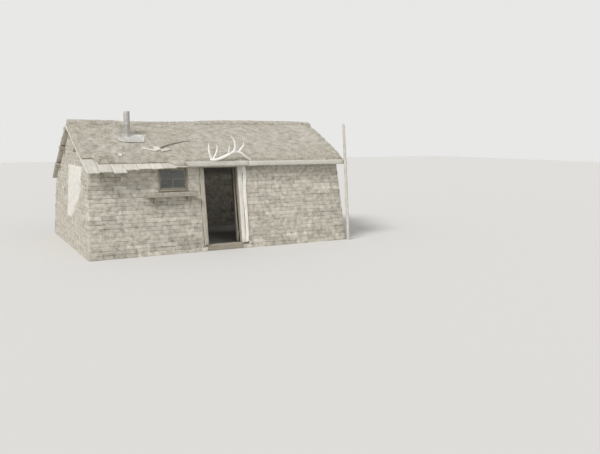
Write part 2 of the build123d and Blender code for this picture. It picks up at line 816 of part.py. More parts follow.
def corner_pole():
    """A peeled pole with drawknife flats, standing at the right front corner against the eave plank."""
    eave_z = front_wall_top + eave_plank_lift[1] + eave_plank_height / 2
    taper = (pole_foot_radius - pole_top_radius) / (pole_top - pole_point)
    radius_at_eave = pole_foot_radius - taper * eave_z
    eave_y = -front_overhang - eave_plank_thickness - radius_at_eave - pole_plank_gap
    foot = Vector(pole_foot_x, pole_foot_y, 0)
    climb = (Vector(pole_eave_x, eave_y, eave_z) - foot) / eave_z
    sections = []
    for z, radius in ((0.0, pole_foot_radius), (pole_top - pole_point, pole_top_radius), (pole_top, pole_tip_radius)):
        centre = foot + climb * z
        sections.append(Pos(*centre) * RegularPolygon(radius, pole_side_count))
    return loft(sections, ruled=True)


parts = {}
parts["left_gable_wall"] = gable_wall(0.0, 1)
parts["right_gable_wall"] = gable_wall(house_length, -1)
parts["front_wall_left"], parts["front_wall_right"] = front_walls()
parts["back_wall"] = back_wall()
parts["front_wall_plate"] = wall_plate(0, 1, front_wall_top)
parts["back_wall_plate"] = wall_plate(house_depth, -1, back_wall_top)
parts["front_eave_fill"] = eave_fill(0, 1, front_wall_top)
parts["back_eave_fill"] = eave_fill(house_depth, -1, back_wall_top)
parts["ridge_pole"] = log(ridge_y, log_centre(ridge_y, ridge_pole_radius), ridge_pole_radius)
parts["front_purlin"] = log(front_purlin_y, log_centre(front_purlin_y, purlin_radius), purlin_radius)
parts["back_purlins"] = Compound(
    children=[log(y, log_centre(y, purlin_radius), purlin_radius).solid() for y in back_purlin_y])
parts["roof_boards_front"] = front_boards()
parts["roof_boards_back"] = back_boards()
front_steps = (worn_corner_x, worn_corner_x + worn_corner_run,
               turf_step_x - turf_step_before, turf_step_x + turf_step_after)
parts["roof_turf_front"] = turf_slope(front_turf_eave, front_steps, 1, right_end_bulge) - pipe_hole()
parts["roof_turf_back"] = turf_slope(back_turf_eave, (turf_step_x,), -1, 0.0)
parts["ridge_turf"] = ridge_turf()
parts["eave_plank"] = eave_plank()
parts.update(doorway_parts())
parts.update(door_leaf_parts())
parts["hinge_pintles"] = hinge_pintles()
parts.update(window_parts())
parts.update(shelf_parts())
parts["stovepipe"] = stovepipe()
parts["pipe_flashing"] = pipe_flashing()
parts["loose_boards"] = loose_boards()
parts["roof_branch"] = roof_branch()
parts["antlers"] = antlers()
parts["corner_pole"] = corner_pole()

# The middle of the footprint goes to the origin, and the ground stays at 0
boxes = [shape.bounding_box() for shape in parts.values()]
middle_x = (min(b.min.X for b in boxes) + max(b.max.X for b in boxes)) / 2
middle_y = (min(b.min.Y for b in boxes) + max(b.max.Y for b in boxes)) / 2

os.makedirs("parts", exist_ok=True)
for name, shape in parts.items():
    export_step(Pos(-middle_x, -middle_y, 0) * shape, f"parts/{name}.step")

axis = hinge_axis()
print("moved by", round(-middle_x, 3), round(-middle_y, 3))
print("hinge point", axis.position + Vector(-middle_x, -middle_y, 0), "direction", axis.direction)
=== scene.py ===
"""Looks for the sod house: laid sods, turf roof, weathered timber, sheet iron, antlers."""
import itertools
import math
import random
import bmesh
import bpy
import numpy as np
from mathutils import Euler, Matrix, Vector


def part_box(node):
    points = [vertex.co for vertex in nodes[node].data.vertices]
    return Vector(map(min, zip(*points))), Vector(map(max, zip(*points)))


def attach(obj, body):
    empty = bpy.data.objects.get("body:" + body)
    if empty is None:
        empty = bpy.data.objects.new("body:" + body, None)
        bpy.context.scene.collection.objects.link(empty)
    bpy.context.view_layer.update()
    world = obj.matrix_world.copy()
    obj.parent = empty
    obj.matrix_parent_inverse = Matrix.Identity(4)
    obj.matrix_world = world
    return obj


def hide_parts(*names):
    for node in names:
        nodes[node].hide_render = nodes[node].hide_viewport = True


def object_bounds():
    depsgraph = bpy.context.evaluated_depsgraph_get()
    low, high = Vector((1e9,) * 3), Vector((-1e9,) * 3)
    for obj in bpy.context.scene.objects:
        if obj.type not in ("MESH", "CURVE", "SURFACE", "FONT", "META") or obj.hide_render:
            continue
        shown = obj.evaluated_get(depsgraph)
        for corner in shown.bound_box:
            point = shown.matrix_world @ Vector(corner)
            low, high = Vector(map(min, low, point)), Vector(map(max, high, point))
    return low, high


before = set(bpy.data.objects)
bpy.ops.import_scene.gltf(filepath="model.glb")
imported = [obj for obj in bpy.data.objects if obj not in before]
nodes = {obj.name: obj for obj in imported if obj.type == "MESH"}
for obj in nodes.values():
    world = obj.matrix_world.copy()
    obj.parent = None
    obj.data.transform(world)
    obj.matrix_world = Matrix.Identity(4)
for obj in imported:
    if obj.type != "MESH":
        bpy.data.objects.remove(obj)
cad_low, cad_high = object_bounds()
BOX_MARGIN = 0.0005
BOX_LOW, BOX_HIGH = np.array(cad_low) + BOX_MARGIN, np.array(cad_high) - BOX_MARGIN

# The house is measured in metres from its left front wall-top corner, brought down to the ground
CORNER = np.array([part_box("front_wall_plate")[0].x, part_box("front_wall_plate")[0].y, 0.0])
LENGTH, DEPTH, RIDGE_Y, WALL = 6.65, 4.6, 2.15, 0.62
FRONT_TOP, BACK_TOP, RIDGE_DECK = 2.07, 1.63, 3.053
BATTER_FRONT, BATTER_BACK, BATTER_GABLE = 0.33, 0.20, 0.12
PLATE_BEARING, DECK, TURF = 0.078, 0.025, 0.125
FRONT_SLOPE = (RIDGE_DECK - FRONT_TOP - PLATE_BEARING) / RIDGE_Y
BACK_SLOPE = (RIDGE_DECK - BACK_TOP - PLATE_BEARING) / (DEPTH - RIDGE_Y)
COS_PITCH = 1.0 / math.hypot(1.0, FRONT_SLOPE)
SIN_PITCH = FRONT_SLOPE * COS_PITCH
LEAN_FRONT = math.atan(BATTER_FRONT / FRONT_TOP)

# The doorway, its casings, the window and the pipe
SILL, HEAD = 0.15, FRONT_TOP - 0.03
DOOR_LEFT, DOOR_RIGHT, JAMB = 2.775, 3.665, 0.035
CASING_LEFT, CASING_IN = DOOR_LEFT - 0.118, DOOR_RIGHT + 0.008
CASING_TOP, CASING_FOOT = 0.235, 0.180
WINDOW_LEFT, WINDOW_RIGHT, WINDOW_SILL = 1.605, 2.355, 1.5
PIPE, PIPE_R, PIPE_TOP, PIPE_FOOT, PIPE_SHEET = (1.2292, 1.240), 0.075, 3.440, 2.437, 0.0025


def house(points):
    """House measures to the shared frame."""
    return np.asarray(points, float) + CORNER


def front_face(z):
    """Where the leaning front stands at that height."""
    return -BATTER_FRONT * (1.0 - z / FRONT_TOP)


def back_face(z):
    """Where the leaning back stands at that height."""
    return DEPTH + BATTER_BACK * (1.0 - z / BACK_TOP)


def gable_face(z):
    """How far the gables stand out past the wall tops."""
    return BATTER_GABLE * np.maximum(0.0, 1.0 - z / FRONT_TOP)


def deck_under(y):
    """Height of the underside of the roof boards."""
    return RIDGE_DECK - np.where(y < RIDGE_Y, FRONT_SLOPE, BACK_SLOPE) * np.abs(y - RIDGE_Y)


def turf_plane(y):
    """Height of the plain upper face of the front turf."""
    return RIDGE_DECK + FRONT_SLOPE * (y - RIDGE_Y) + (DECK + TURF) * math.hypot(1.0, FRONT_SLOPE)


def on_turf(right, up, off):
    """Points on the turf's plain face: right of the pipe, up the slope, off the face."""
    right, up, off = np.broadcast_arrays(np.asarray(right, float), up, off)
    return np.stack([PIPE[0] + right, PIPE[1] + up * COS_PITCH - off * SIN_PITCH,
                     turf_plane(PIPE[1]) + up * SIN_PITCH + off * COS_PITCH], -1)


# Noise in plain numpy
def lattice(cells, seed):
    """A fixed number from -1 to 1 for every cell of space."""
    h = (cells @ np.array([374761393, 668265263, 1440662683]) + seed * 1274126177) & 0xFFFFFFFF
    h = ((h ^ (h >> 13)) * 1103515245) & 0xFFFFFFFF
    h = h ^ (h >> 16)
    return (h & 0xFFFFFF) / float(0xFFFFFF) * 2.0 - 1.0


def value_noise(p, size, seed=0):
    """Smooth noise from -1 to 1 with features of that size in metres."""
    q = np.asarray(p, float) / size + 1000.0
    cells = np.floor(q).astype(np.int64)
    f = q - cells
    f = f * f * (3.0 - 2.0 * f)
    total = np.zeros(len(q))
    for step in itertools.product((0, 1), repeat=3):
        share = np.where(step, f, 1 - f)
        total += share[:, 0] * share[:, 1] * share[:, 2] * lattice(cells + step, seed)
    return total


def rough_noise(p, size, octaves, seed):
    """Noise with finer noise on it, each octave half as high."""
    return sum(0.5 ** k * value_noise(p, size / 2 ** k, seed + 17 * k) for k in range(octaves))


def line_noise(s, size, seed):
    """Noise along one measure."""
    return value_noise(np.outer(s, (1.0, 0.0, 0.0)), size, seed)


# Nodes and materials
NOISE, MAPPING, RAMP = "ShaderNodeTexNoise", "ShaderNodeMapping", "ShaderNodeValToRGB"
MIX, BUMP, MATH, VECTOR_MATH = "ShaderNodeMix", "ShaderNodeBump", "ShaderNodeMath", "ShaderNodeVectorMath"
# A colour mix has its factor at socket 0, its two colours at 6 and 7, and its result at output 2
COVER = {"out": 2, "data_type": "RGBA"}
TINT = {**COVER, "blend_type": "MULTIPLY"}


def colour(text):
    """An sRGB hex colour as linear RGBA."""
    parts = [int(text[k:k + 2], 16) / 255.0 for k in (0, 2, 4)]
    return (*[c / 12.92 if c <= 0.04045 else ((c + 0.055) / 1.055) ** 2.4 for c in parts], 1.0)


def add(tree, kind, feeds=None, out=0, stops=(), **settings):
    """Adds a node with its settings, inputs and ramp stops, and gives one of its outputs.

    An input takes a value or another node's output. A stop is a place and a hex colour or a grey.
    """
    made = tree.nodes.new(kind)
    for key, value in settings.items():
        setattr(made, key, value)
    for socket, source in (feeds or {}).items():
        if isinstance(source, bpy.types.NodeSocket):
            tree.links.new(source, made.inputs[socket])
        else:
            made.inputs[socket].default_value = source
    for k, (place, value) in enumerate(stops):
        elements = made.color_ramp.elements
        element = elements[k] if k < 2 else elements.new(place)
        element.position = place
        element.color = colour(value) if isinstance(value, str) else (value, value, value, 1.0)
    return made.outputs[out] if made.outputs else made


def open_material(name, kind="ShaderNodeTexCoord", out="Object", **settings):
    """An empty material, its tree and the place that its patterns are read at."""
    made = bpy.data.materials.new(name)
    made.use_nodes = True
    made.node_tree.nodes.clear()
    return made, made.node_tree, add(made.node_tree, kind, out=out, **settings)


def close_material(made, feeds):
    """Ends a material with its shader."""
    shader = add(made.node_tree, "ShaderNodeBsdfPrincipled", feeds)
    add(made.node_tree, "ShaderNodeOutputMaterial", {"Surface": shader})
    return made


def toned(tree, body, low, high):
    """The colour with each sod or board a little lighter or darker than its neighbours, and with a run's own
    tone, which on some walls is painted light or shade.
    """
    tone = add(tree, "ShaderNodeAttribute", out="Fac", attribute_name="tone")
    shade = add(tree, RAMP, {"Fac": tone}, stops=((0.0, low), (0.5, (low + high) / 2), (1.0, high)))
    return add(tree, MIX, {0: 1.0, 6: body, 7: shade}, **TINT)


def earth_material(name, dark, mid, light, fibre, single=True, coarse=0.11, fine=0.012, depth=0.005):
    """Sod: crumbly earth bound by roots, so mottled, thinly layered, with pale threads and pits.

    Real crumbs are 2 to 5 mm wide and root threads under 1 mm. They are too fine to show, so crumbs are drawn
    12 to 14 mm wide and threads 10 mm thick.
    """
    made, tree, place = open_material(name)
    broad, small = [add(tree, NOISE, {"Vector": place, "Scale": 1 / size, "Detail": 4.0, "Roughness": rough})
                    for size, rough in ((coarse, 0.6), (fine, 0.65))]
    level = add(tree, MAPPING, {"Vector": place, "Scale": (0.22, 0.22, 1.6)})
    layers = add(tree, NOISE, {"Vector": level, "Scale": 1 / 0.016, "Detail": 3.0, "Roughness": 0.6})
    body = add(tree, RAMP, {"Fac": broad}, stops=((0.28, dark), (0.50, mid), (0.74, light)))
    speck = add(tree, RAMP, {"Fac": small}, stops=((0.34, 0.66), (0.52, 1.0), (0.74, 1.12)))
    body = add(tree, MIX, {0: 0.75, 6: body, 7: speck}, **TINT)
    threads = add(tree, RAMP, {"Fac": layers}, stops=((0.60, 0.0), (0.76, 0.8)))
    body = add(tree, MIX, {0: threads, 6: body, 7: colour(fibre)}, **COVER)
    if single:
        body = toned(tree, body, 0.76, 1.18)
    normal = add(tree, BUMP, {"Height": small, "Distance": depth})
    normal = add(tree, BUMP, {"Height": layers, "Distance": depth * 0.6, "Strength": 0.8, "Normal": normal})
    return close_material(made, {"Base Color": body, "Roughness": 0.95, "Specular IOR Level": 0.15,
                                 "Normal": normal})


def wood_material(name, dark, mid, light, ring=0.009, wear=0.5, along=None):
    """Bare weathered wood: silvered, with raised grain and dark checks along its length.

    Boards read their own grain attribute. A log or beam names the axis that it lies along. Real growth rings
    are 3 to 6 mm wide; grain is drawn 6 to 20 mm wide, because finer grain doesn't show.
    """
    if along is None:
        made, tree, place = open_material(name, "ShaderNodeAttribute", "Vector", attribute_name="grain")
    else:
        made, tree, place = open_material(name)
    drawn = [[share if axis == (along or 0) else 1.0 for axis in range(3)] for share in (0.035, 0.018)]
    long_grain, long_check = [add(tree, MAPPING, {"Vector": place, "Scale": scale}) for scale in drawn]
    grain = add(tree, NOISE, {"Vector": long_grain, "Scale": 1 / ring, "Detail": 6.0, "Roughness": 0.68})
    checks = add(tree, NOISE, {"Vector": long_check, "Scale": 1.25 / ring, "Detail": 2.0, "Roughness": 0.5})
    cloud = add(tree, NOISE, {"Vector": place, "Scale": 1 / 0.28, "Detail": 3.0, "Roughness": 0.6})
    body = add(tree, RAMP, {"Fac": grain}, stops=((0.30, dark), (0.50, mid), (0.70, light)))
    stain = add(tree, RAMP, {"Fac": cloud}, stops=((0.32, 0.70), (0.62, 1.06)))
    body = add(tree, MIX, {0: wear, 6: body, 7: stain}, **TINT)
    split = add(tree, RAMP, {"Fac": checks}, stops=((0.23, 1.0), (0.29, 0.0)))
    body = add(tree, MIX, {0: split, 6: body, 7: colour("37322b")}, **COVER)
    if along is None:
        body = toned(tree, body, 0.82, 1.12)
    normal = add(tree, BUMP, {"Height": grain, "Distance": 0.0012})
    normal = add(tree, BUMP, {"Height": checks, "Distance": 0.0025, "Strength": 0.6, "Normal": normal})
    return close_material(made, {"Base Color": body, "Roughness": 0.85, "Specular IOR Level": 0.25,
                                 "Normal": normal})


def metal_material(name, dark, light, rust, amount, metallic, rough):
    """Sheet or forged iron left outdoors: dull metal with soft rust blooms.

    Its pits, under 1 mm in truth, are drawn 8 mm wide so that they show.
    """
    made, tree, place = open_material(name)
    cloud, pits, patch = [
        add(tree, NOISE, {"Vector": place, "Scale": 1 / size, "Detail": detail, "Roughness": gain})
        for size, detail, gain in ((0.12, 4.0, 0.6), (0.008, 3.0, 0.6), (0.05, 5.0, 0.7))]
    body = add(tree, RAMP, {"Fac": cloud}, stops=((0.3, dark), (0.7, light)))
    bloom = add(tree, RAMP, {"Fac": patch}, stops=((0.70 - 0.3 * amount, 0.0), (0.95 - 0.3 * amount, 1.0)))
    body = add(tree, MIX, {0: bloom, 6: body, 7: colour(rust)}, **COVER)
    normal = add(tree, BUMP, {"Height": pits, "Distance": 0.0006})
    return close_material(made, {"Base Color": body, "Metallic": metallic, "Roughness": rough,
                                 "Normal": normal})


def plain_material(name, stops, size, rough, depth):
    """A stuff with one pattern: its colour and its relief follow the same noise."""
    made, tree, place = open_material(name)
    pattern = add(tree, NOISE, {"Vector": place, "Scale": 1 / size, "Detail": 4.0, "Roughness": 0.6})
    body = add(tree, RAMP, {"Fac": pattern}, stops=stops)
    normal = add(tree, BUMP, {"Height": pattern, "Distance": depth})
    return close_material(made, {"Base Color": body, "Roughness": rough, "Normal": normal})


# Prairie sod, cut and laid grass side down: dry grey-brown earth, pale root threads, darker pits
sod = earth_material("dry_prairie_sod", "958d80", "bbb5a8", "d1ccc1", "d2ccbf")
# The same earth inside the joints and the room, damper and smoother, and drawn darker: partly painted shade
# in the joints
core = earth_material("packed_sod_core", "6f6a61", "88837a", "99948b", "9c988e", single=False)
# Roof turf: sods bleached by the sun, matted with dead buffalo grass
turf = earth_material("bleached_roof_turf", "969084", "b0aa9e", "c4beb3", "c7c1b5", False, 0.16, 0.014, 0.006)
# Clay and lime daub trowelled on the gable: chalky and pale, stained by rain
daub = plain_material("lime_and_clay_daub", ((0.3, "c2beb4"), (0.5, "d3cfc5"), (0.7, "dedad1")), 0.11, 0.9,
                      0.003)
# Dead grass: pale straw, darker at the roots
straw = plain_material("dead_buffalo_grass", ((0.3, "b9b3a3"), (0.7, "d6d0c0")), 0.06, 0.8, 0.0005)
# Rough-sawn cottonwood boards, never painted: silvered grey, the grain standing out
board_wood = wood_material("silvered_roof_board", "a8a297", "c8c3b8", "dcd8ce", wear=0.35)
# The plank along the eave, bleached almost white by the sun
plank_wood = wood_material("bleached_eave_plank", "b0aa9e", "cfcabf", "e0dcd3", wear=0.25)
# The door leaf, kept out of the sun: browner and darker
door_wood = wood_material("weathered_door_board", "6f685c", "948c7c", "aea695")
# Jambs, sill, window frame and shelf: grey, handled, a little dark
jamb_wood = wood_material("weathered_jamb_board", "7d7566", "a1998a", "bbb3a3", wear=0.4)
# The left casing, its whitewash gone grey
grey_casing_wood = wood_material("greyed_casing_board", "8f887b", "b1aa9c", "c9c3b6", wear=0.4)
# The right casing, still white with lime
casing_wood = wood_material("whitewashed_casing_board", "b9b4a9", "dad6cc", "eae7df", wear=0.3)
# Planed sash bars, finer in the grain
sash_wood = wood_material("grey_sash_bar", "6c655a", "8f8879", "a9a192", ring=0.006)
# Logs: peeled, cracked along, grey outside
log_wood = wood_material("peeled_cottonwood_log", "88806f", "aca595", "c4bdae", ring=0.02, along=0)
# The corner pole: a peeled sapling, silvered and smooth
pole_wood = wood_material("peeled_pole", "a39d90", "c5c0b5", "d8d4ca", ring=0.01, along=2)
# Hewn wall plates: darker, coarse from the axe
plate_wood = wood_material("hewn_plate_beam", "7c7466", "9d9585", "b5ad9c", ring=0.016, along=0)
# Sawn brackets under the shelf, as grey as the jambs
bracket_wood = wood_material("sawn_bracket", "7d7566", "a1998a", "bbb3a3", along=2)
# A dead branch with its bark on: dark and furrowed
dark_wood = wood_material("dead_branch_bark", "5f594e", "7f786b", "9d9688", ring=0.008, along=0)
# Stovepipe: thin rolled iron gone grey with heat and soot, a little rust at the seam
pipe_iron = metal_material("sooty_stovepipe_iron", "9a9894", "bdbbb7", "8d7c6c", 0.35, 0.35, 0.62)
# Flattened tin sheet: dull, bright where the wind rubs it
tin = metal_material("dull_tinned_sheet", "a9a69f", "d8d6d0", "94816c", 0.3, 0.35, 0.5)
# Hinges, handle and nails: forged iron, dark, rusting brown
iron = metal_material("forged_iron", "35322f", "55514d", "5f4634", 0.6, 0.8, 0.55)
# Weathered antler: chalky bone, pale ridges and grey runnels. Real pearling is 3 to 5 mm; it is drawn 18 mm
# wide, because finer ridges don't show
bone = plain_material("bleached_antler", ((0.3, "d2cdc3"), (0.5, "f1eee8"), (0.75, "f9f7f3")), 0.018, 0.6,
                      0.0015)
# Old sheet glass: clear, faintly green, so the dark room shows through it
glass = close_material(open_material("old_sheet_glass")[0], {
    "Base Color": colour("c4cbc5"), "Transmission Weight": 1.0, "Roughness": 0.05, "IOR": 1.5})
# Studio paper on the floor: matt and pale
paper = close_material(open_material("pale_studio_floor")[0],
                       {"Base Color": colour("cfcdc9"), "Roughness": 0.9})


# Mesh pieces
def link(name, data):
    """An object for that mesh or lamp, in the scene."""
    obj = bpy.data.objects.new(name, data)
    bpy.context.scene.collection.objects.link(obj)
    return obj


def get_points(mesh, what="co"):
    """A mesh's points, or their normals, as rows."""
    flat = np.empty(len(mesh.vertices) * 3)
    mesh.vertices.foreach_get(what, flat)
    return flat.reshape(-1, 3)


def set_points(mesh, points):
    """Moves a mesh's points, and keeps them in the CAD box."""
    mesh.vertices.foreach_set("co", np.clip(points, BOX_LOW, BOX_HIGH).ravel())
    mesh.update()


def set_layer(mesh, name, kind, values):
    """A named value or vector at every point of a mesh."""
    layer = mesh.attributes.new(name, kind, "POINT").data
    layer.foreach_set("value" if kind == "FLOAT" else "vector", np.asarray(values, np.float32).ravel())


def new_mesh(name, points, faces=()):
    """A mesh of those points and faces."""
    mesh = bpy.data.meshes.new(name)
    mesh.from_pydata(np.asarray(points).tolist(), [], faces)
    return mesh


def joined(shapes):
    """The points and faces of several shapes as one."""
    starts = np.cumsum([0] + [len(shape[0]) for shape in shapes]).tolist()
    faces = [[start + i for i in face] for start, shape in zip(starts, shapes) for face in shape[1]]
    return np.concatenate([shape[0] for shape in shapes]), faces


def paint(obj, material):
    """Gives an object that one material."""
    obj.data.materials.clear()
    obj.data.materials.append(material)


def finish_piece(obj, material, body="house", stands_for=(), sharp=None):
    """Gives a piece its material and body, smooth but for edges past sharp, in degrees, and hides the CAD
    parts that it stands for.
    """
    if sharp:
        obj.data.polygons.foreach_set("use_smooth", [True] * len(obj.data.polygons))
        obj.data.set_sharp_from_angle(angle=math.radians(sharp))
    paint(obj, material)
    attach(obj, body)
    if stands_for:
        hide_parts(*stands_for)
    return obj


def make_piece(name, shapes, material, body="house", stands_for=()):
    """One mesh piece from shapes of (points in house measures, faces) and, on boards, grain and tone."""
    points, faces = joined(shapes)
    mesh = new_mesh(name, np.clip(house(points), BOX_LOW, BOX_HIGH), faces)
    full = [shape if len(shape) == 4 else (*shape, shape[0], 0.5) for shape in shapes]
    set_layer(mesh, "grain", "FLOAT_VECTOR", np.concatenate([grain for _, _, grain, _ in full]))
    set_layer(mesh, "tone", "FLOAT", np.concatenate([np.full(len(p), tone) for p, _, _, tone in full]))
    mesh.update()
    return finish_piece(link(name, mesh), material, body, stands_for, 50)


# Boards
def box_lattice(us, vs, ws):
    """Points on the skin of a unit box along the given lines, and its quads, facing out."""
    lines, index, quads = (us, vs, ws), {}, []
    for axis in range(3):
        a, b = (axis + 1) % 3, (axis + 2) % 3
        for side in (0, len(lines[axis]) - 1):
            for p, q in itertools.product(range(len(lines[a]) - 1), range(len(lines[b]) - 1)):
                ring = []
                for dp, dq in ((0, 0), (1, 0), (1, 1), (0, 1)):
                    place = [0, 0, 0]
                    place[axis], place[a], place[b] = side, p + dp, q + dq
                    ring.append(index.setdefault(tuple(place), len(index)))
                quads.append(ring if side else ring[::-1])
    return np.array([(us[i], vs[j], ws[k]) for i, j, k in index]), quads


def outward(t):
    """-1 or 1 on the two ends of a unit measure, 0 between them."""
    return np.sign(t - 0.5) * (np.abs(t - 0.5) > 0.4999)


def plank(corners, rng, wobble=0.003, ragged=(0.003, 0.003), bow=0.003, cup=0.0015, step=0.09, droop=0.0):
    """A weathered board on eight corners [length][width][thickness]: worn edges, broken ends, a warp.

    wobble bends its edges, ragged is how deep each end is broken, and droop lets the first end hang.
    """
    c = np.asarray(corners, float)
    along, across, through = [(c.take(1, k) - c.take(0, k)).reshape(-1, 3).mean(0) for k in range(3)]
    length, width, thick = [float(np.linalg.norm(v)) for v in (along, across, through)]
    rim = min(0.004, 0.2 * thick)
    lines = []
    counts = (max(4, int(length / step)), max(3, int(width / 0.045)), 1)
    for size, count in zip((length, width, thick), counts):
        lines.append([0.0, *np.linspace(rim / size, 1 - rim / size, count + 1), 1.0])
    unit, quads = box_lattice(*lines)
    if np.linalg.det(np.stack([along, across, through])) < 0:
        quads = [q[::-1] for q in quads]
    u, v, w = unit.T
    place = np.zeros((len(unit), 3))
    for i, j, k in itertools.product((0, 1), repeat=3):
        share = (u if i else 1 - u) * (v if j else 1 - v) * (w if k else 1 - w)
        place += share[:, None] * c[i, j, k]
    on_edge = sum(np.abs(outward(t)) for t in (u, v, w)) >= 2
    pull = np.where(on_edge, 0.45 * rim, 0.0)
    x, y, z = u * length, v * width, w * thick
    seed = rng.randrange(10000)
    spot = np.stack([x, y, z], 1) + seed * 0.37
    end = np.stack([y, z * 0.4, 0 * y], 1)
    jag0, jag1 = [np.abs(value_noise(end, 0.022, seed + k)) for k in (2, 3)]
    near0, near1 = np.clip(1 - x / 0.05, 0, 1), np.clip(1 - (length - x) / 0.05, 0, 1)
    shift_a = ragged[0] * jag0 * near0 - ragged[1] * jag1 * near1
    shift_b = wobble * ((1 - v) * line_noise(x, 0.28, seed) + v * line_noise(x, 0.28, seed + 1))
    shift_n = bow * line_noise(x, 0.9, seed + 4) + cup * ((2 * v - 1) ** 2 - 0.5)
    shift_n = shift_n + 0.0007 * value_noise(spot * (0.25, 1, 1), 0.02, seed + 5)
    shift_n = shift_n - droop * np.clip(1 - x / 0.3, 0, 1) ** 2
    for shift, t, axis, size in ((shift_a, u, along, length), (shift_b, v, across, width),
                                 (shift_n, w, through, thick)):
        place = place + np.outer(shift - pull * outward(t), axis / size)
    return place, quads, spot, min(1.0, max(0.0, rng.gauss(0.5, 0.2)))


def bored_board(island):
    """The corners of a roof board with a hole in it: they lie on its two long sides."""
    points = np.array([v.co for v in island])
    corners = np.zeros((2, 2, 2, 3))
    for j, side in enumerate((points[:, 0].min(), points[:, 0].max())):
        row = sorted(points[np.abs(points[:, 0] - side) < 1e-4].tolist(), key=lambda p: p[1])
        for i, pair in enumerate((row[:2], row[-2:])):
            corners[i, j] = sorted(pair, key=lambda p: p[2])
    return corners


def low_left(co):
    """Picks a board's first corner: the lowest, then the leftmost, then the front one."""
    return round(co.z, 3), round(co.x, 4), round(co.y, 4)


def low_front(co):
    """The same on the open door, whose boards stand one behind the other."""
    return round(co.z, 3), round(co.y, 4), round(co.x, 4)


def hexes(node, first=low_left):
    """Every board of a CAD node as eight corners [length][width][thickness] in house measures."""
    bm = bmesh.new()
    bm.from_mesh(nodes[node].data)
    bmesh.ops.remove_doubles(bm, verts=bm.verts, dist=1e-5)
    bmesh.ops.dissolve_limit(bm, angle_limit=math.radians(1), verts=bm.verts, edges=bm.edges)
    waiting, boards = set(bm.verts), []
    while waiting:
        island = [waiting.pop()]
        for vertex in island:
            found = {e.other_vert(vertex) for e in vertex.link_edges} & waiting
            waiting -= found
            island += found
        if len(island) != 8:
            boards.append(bored_board(island) - CORNER)
            continue
        start = min(island, key=lambda v: first(v.co))
        arms = sorted(start.link_edges, key=lambda e: -e.calc_length())
        sides = np.array([e.other_vert(start).co - start.co for e in arms]).T
        corners = np.zeros((2, 2, 2, 3))
        for v in island:
            corner = np.rint(np.linalg.solve(sides, v.co - start.co)).astype(int)
            corners[tuple(corner)] = v.co
        boards.append(corners - CORNER)
    bm.free()
    return sorted(boards, key=lambda c: tuple(np.round(c.reshape(-1, 3).mean(0), 3)))


def part_of(corners, v0, v1):
    """A strip of a board between two shares of its width."""
    first, second = corners[:, 0], corners[:, 1]
    return np.stack([first + (second - first) * v0, first + (second - first) * v1], 1)


def member(x, w, z, upright):
    """Corners of a frame member that leans with the front wall, w inwards from its face."""
    corners = np.zeros((2, 2, 2, 3))
    for i, j, k in itertools.product((0, 1), repeat=3):
        xi, zi = (x[j], z[i]) if upright else (x[i], z[j])
        corners[i, j, k] = xi, front_face(zi) + w[k] / math.cos(LEAN_FRONT), zi
    return corners


def four_members(x, w, z, wide, rng, **wear):
    """Planks for the two stiles of a frame and the two rails between them."""
    (x0, x1), (z0, z1) = x, z
    return [plank(member(x, w, z, up), rng, **wear) for x, z, up in (
        ((x0, x0 + wide), (z0, z1), True), ((x1 - wide, x1), (z0, z1), True),
        ((x0 + wide, x1 - wide), (z0, z0 + wide), False), ((x0 + wide, x1 - wide), (z1 - wide, z1), False))]


# Round things
def smooth_path(points, count):
    """Catmull-Rom points along a bent line, evenly spread over its spans."""
    p = np.asarray(points, float)
    p = np.vstack([2 * p[0] - p[1], p, 2 * p[-1] - p[-2]])
    spans = len(p) - 3
    out = []
    for s in np.linspace(0, spans, count):
        k = min(int(s), spans - 1)
        t = s - k
        a, b, c, d = p[k:k + 4]
        out.append(0.5 * (2 * b + (c - a) * t + (2 * a - 5 * b + 4 * c - d) * t * t
                          + (3 * b - a - 3 * c + d) * t ** 3))
    return np.array(out)


def tube(points, radii, sides, count, lump, lump_size, seed):
    """A closed round limb along a path: radii are spread over it, and lump roughens it."""
    path = smooth_path(points, count)
    radius = np.interp(np.linspace(0, 1, count), np.linspace(0, 1, len(radii)), radii)
    heading = np.gradient(path, axis=0)
    heading /= np.linalg.norm(heading, axis=1)[:, None]
    side = np.cross(heading[0], (0.3, 0.5, 0.81))
    angles = np.linspace(0, 2 * math.pi, sides, endpoint=False)
    rings = []
    for k in range(count):
        side = side - heading[k] * (side @ heading[k])
        side /= np.linalg.norm(side)
        up = np.cross(heading[k], side)
        rings.append(path[k] + radius[k] * (np.outer(np.cos(angles), side) + np.outer(np.sin(angles), up)))
    body = np.concatenate(rings)
    out = (body - np.repeat(path, sides, 0)) / np.maximum(np.repeat(radius, sides), 1e-6)[:, None]
    body = body + out * (lump * rough_noise(body, lump_size, 3, seed))[:, None]
    faces = []
    for k, j in itertools.product(range(count - 1), range(sides)):
        a, b = k * sides + j, k * sides + (j + 1) % sides
        faces.append([a, b, b + sides, a + sides])
    foot, tip, last = len(body), len(body) + 1, (count - 1) * sides
    for j in range(sides):
        faces.append([foot, (j + 1) % sides, j])
        faces.append([tip, last + j, last + (j + 1) % sides])
    ends = path[[0, -1]] + heading[[0, -1]] * (0.15 * radius[[0, -1]] * (-1, 1))[:, None]
    return np.vstack([body, ends]), faces


def closed_grid(rows, sides, inward=False):
    """The quads of a grid of points that closes on itself both ways."""
    faces = []
    for k, j in itertools.product(range(rows), range(sides)):
        nxt, beside = (k + 1) % rows * sides, (j + 1) % sides
        quad = [k * sides + j, k * sides + beside, nxt + beside, nxt + j]
        faces.append([quad[0], *quad[:0:-1]] if inward else quad)
    return faces


def lathe(centre, outline, sides, shape):
    """Turns an outline of (radius, height), outer skin up then inner skin down, into a closed ring."""
    points = []
    for (radius, z), angle in itertools.product(outline, np.linspace(0, 2 * math.pi, sides, endpoint=False)):
        r, z = shape(radius, z, angle)
        points.append((centre[0] + r * math.cos(angle), centre[1] + r * math.sin(angle), z))
    return np.array(points), closed_grid(len(outline), sides)


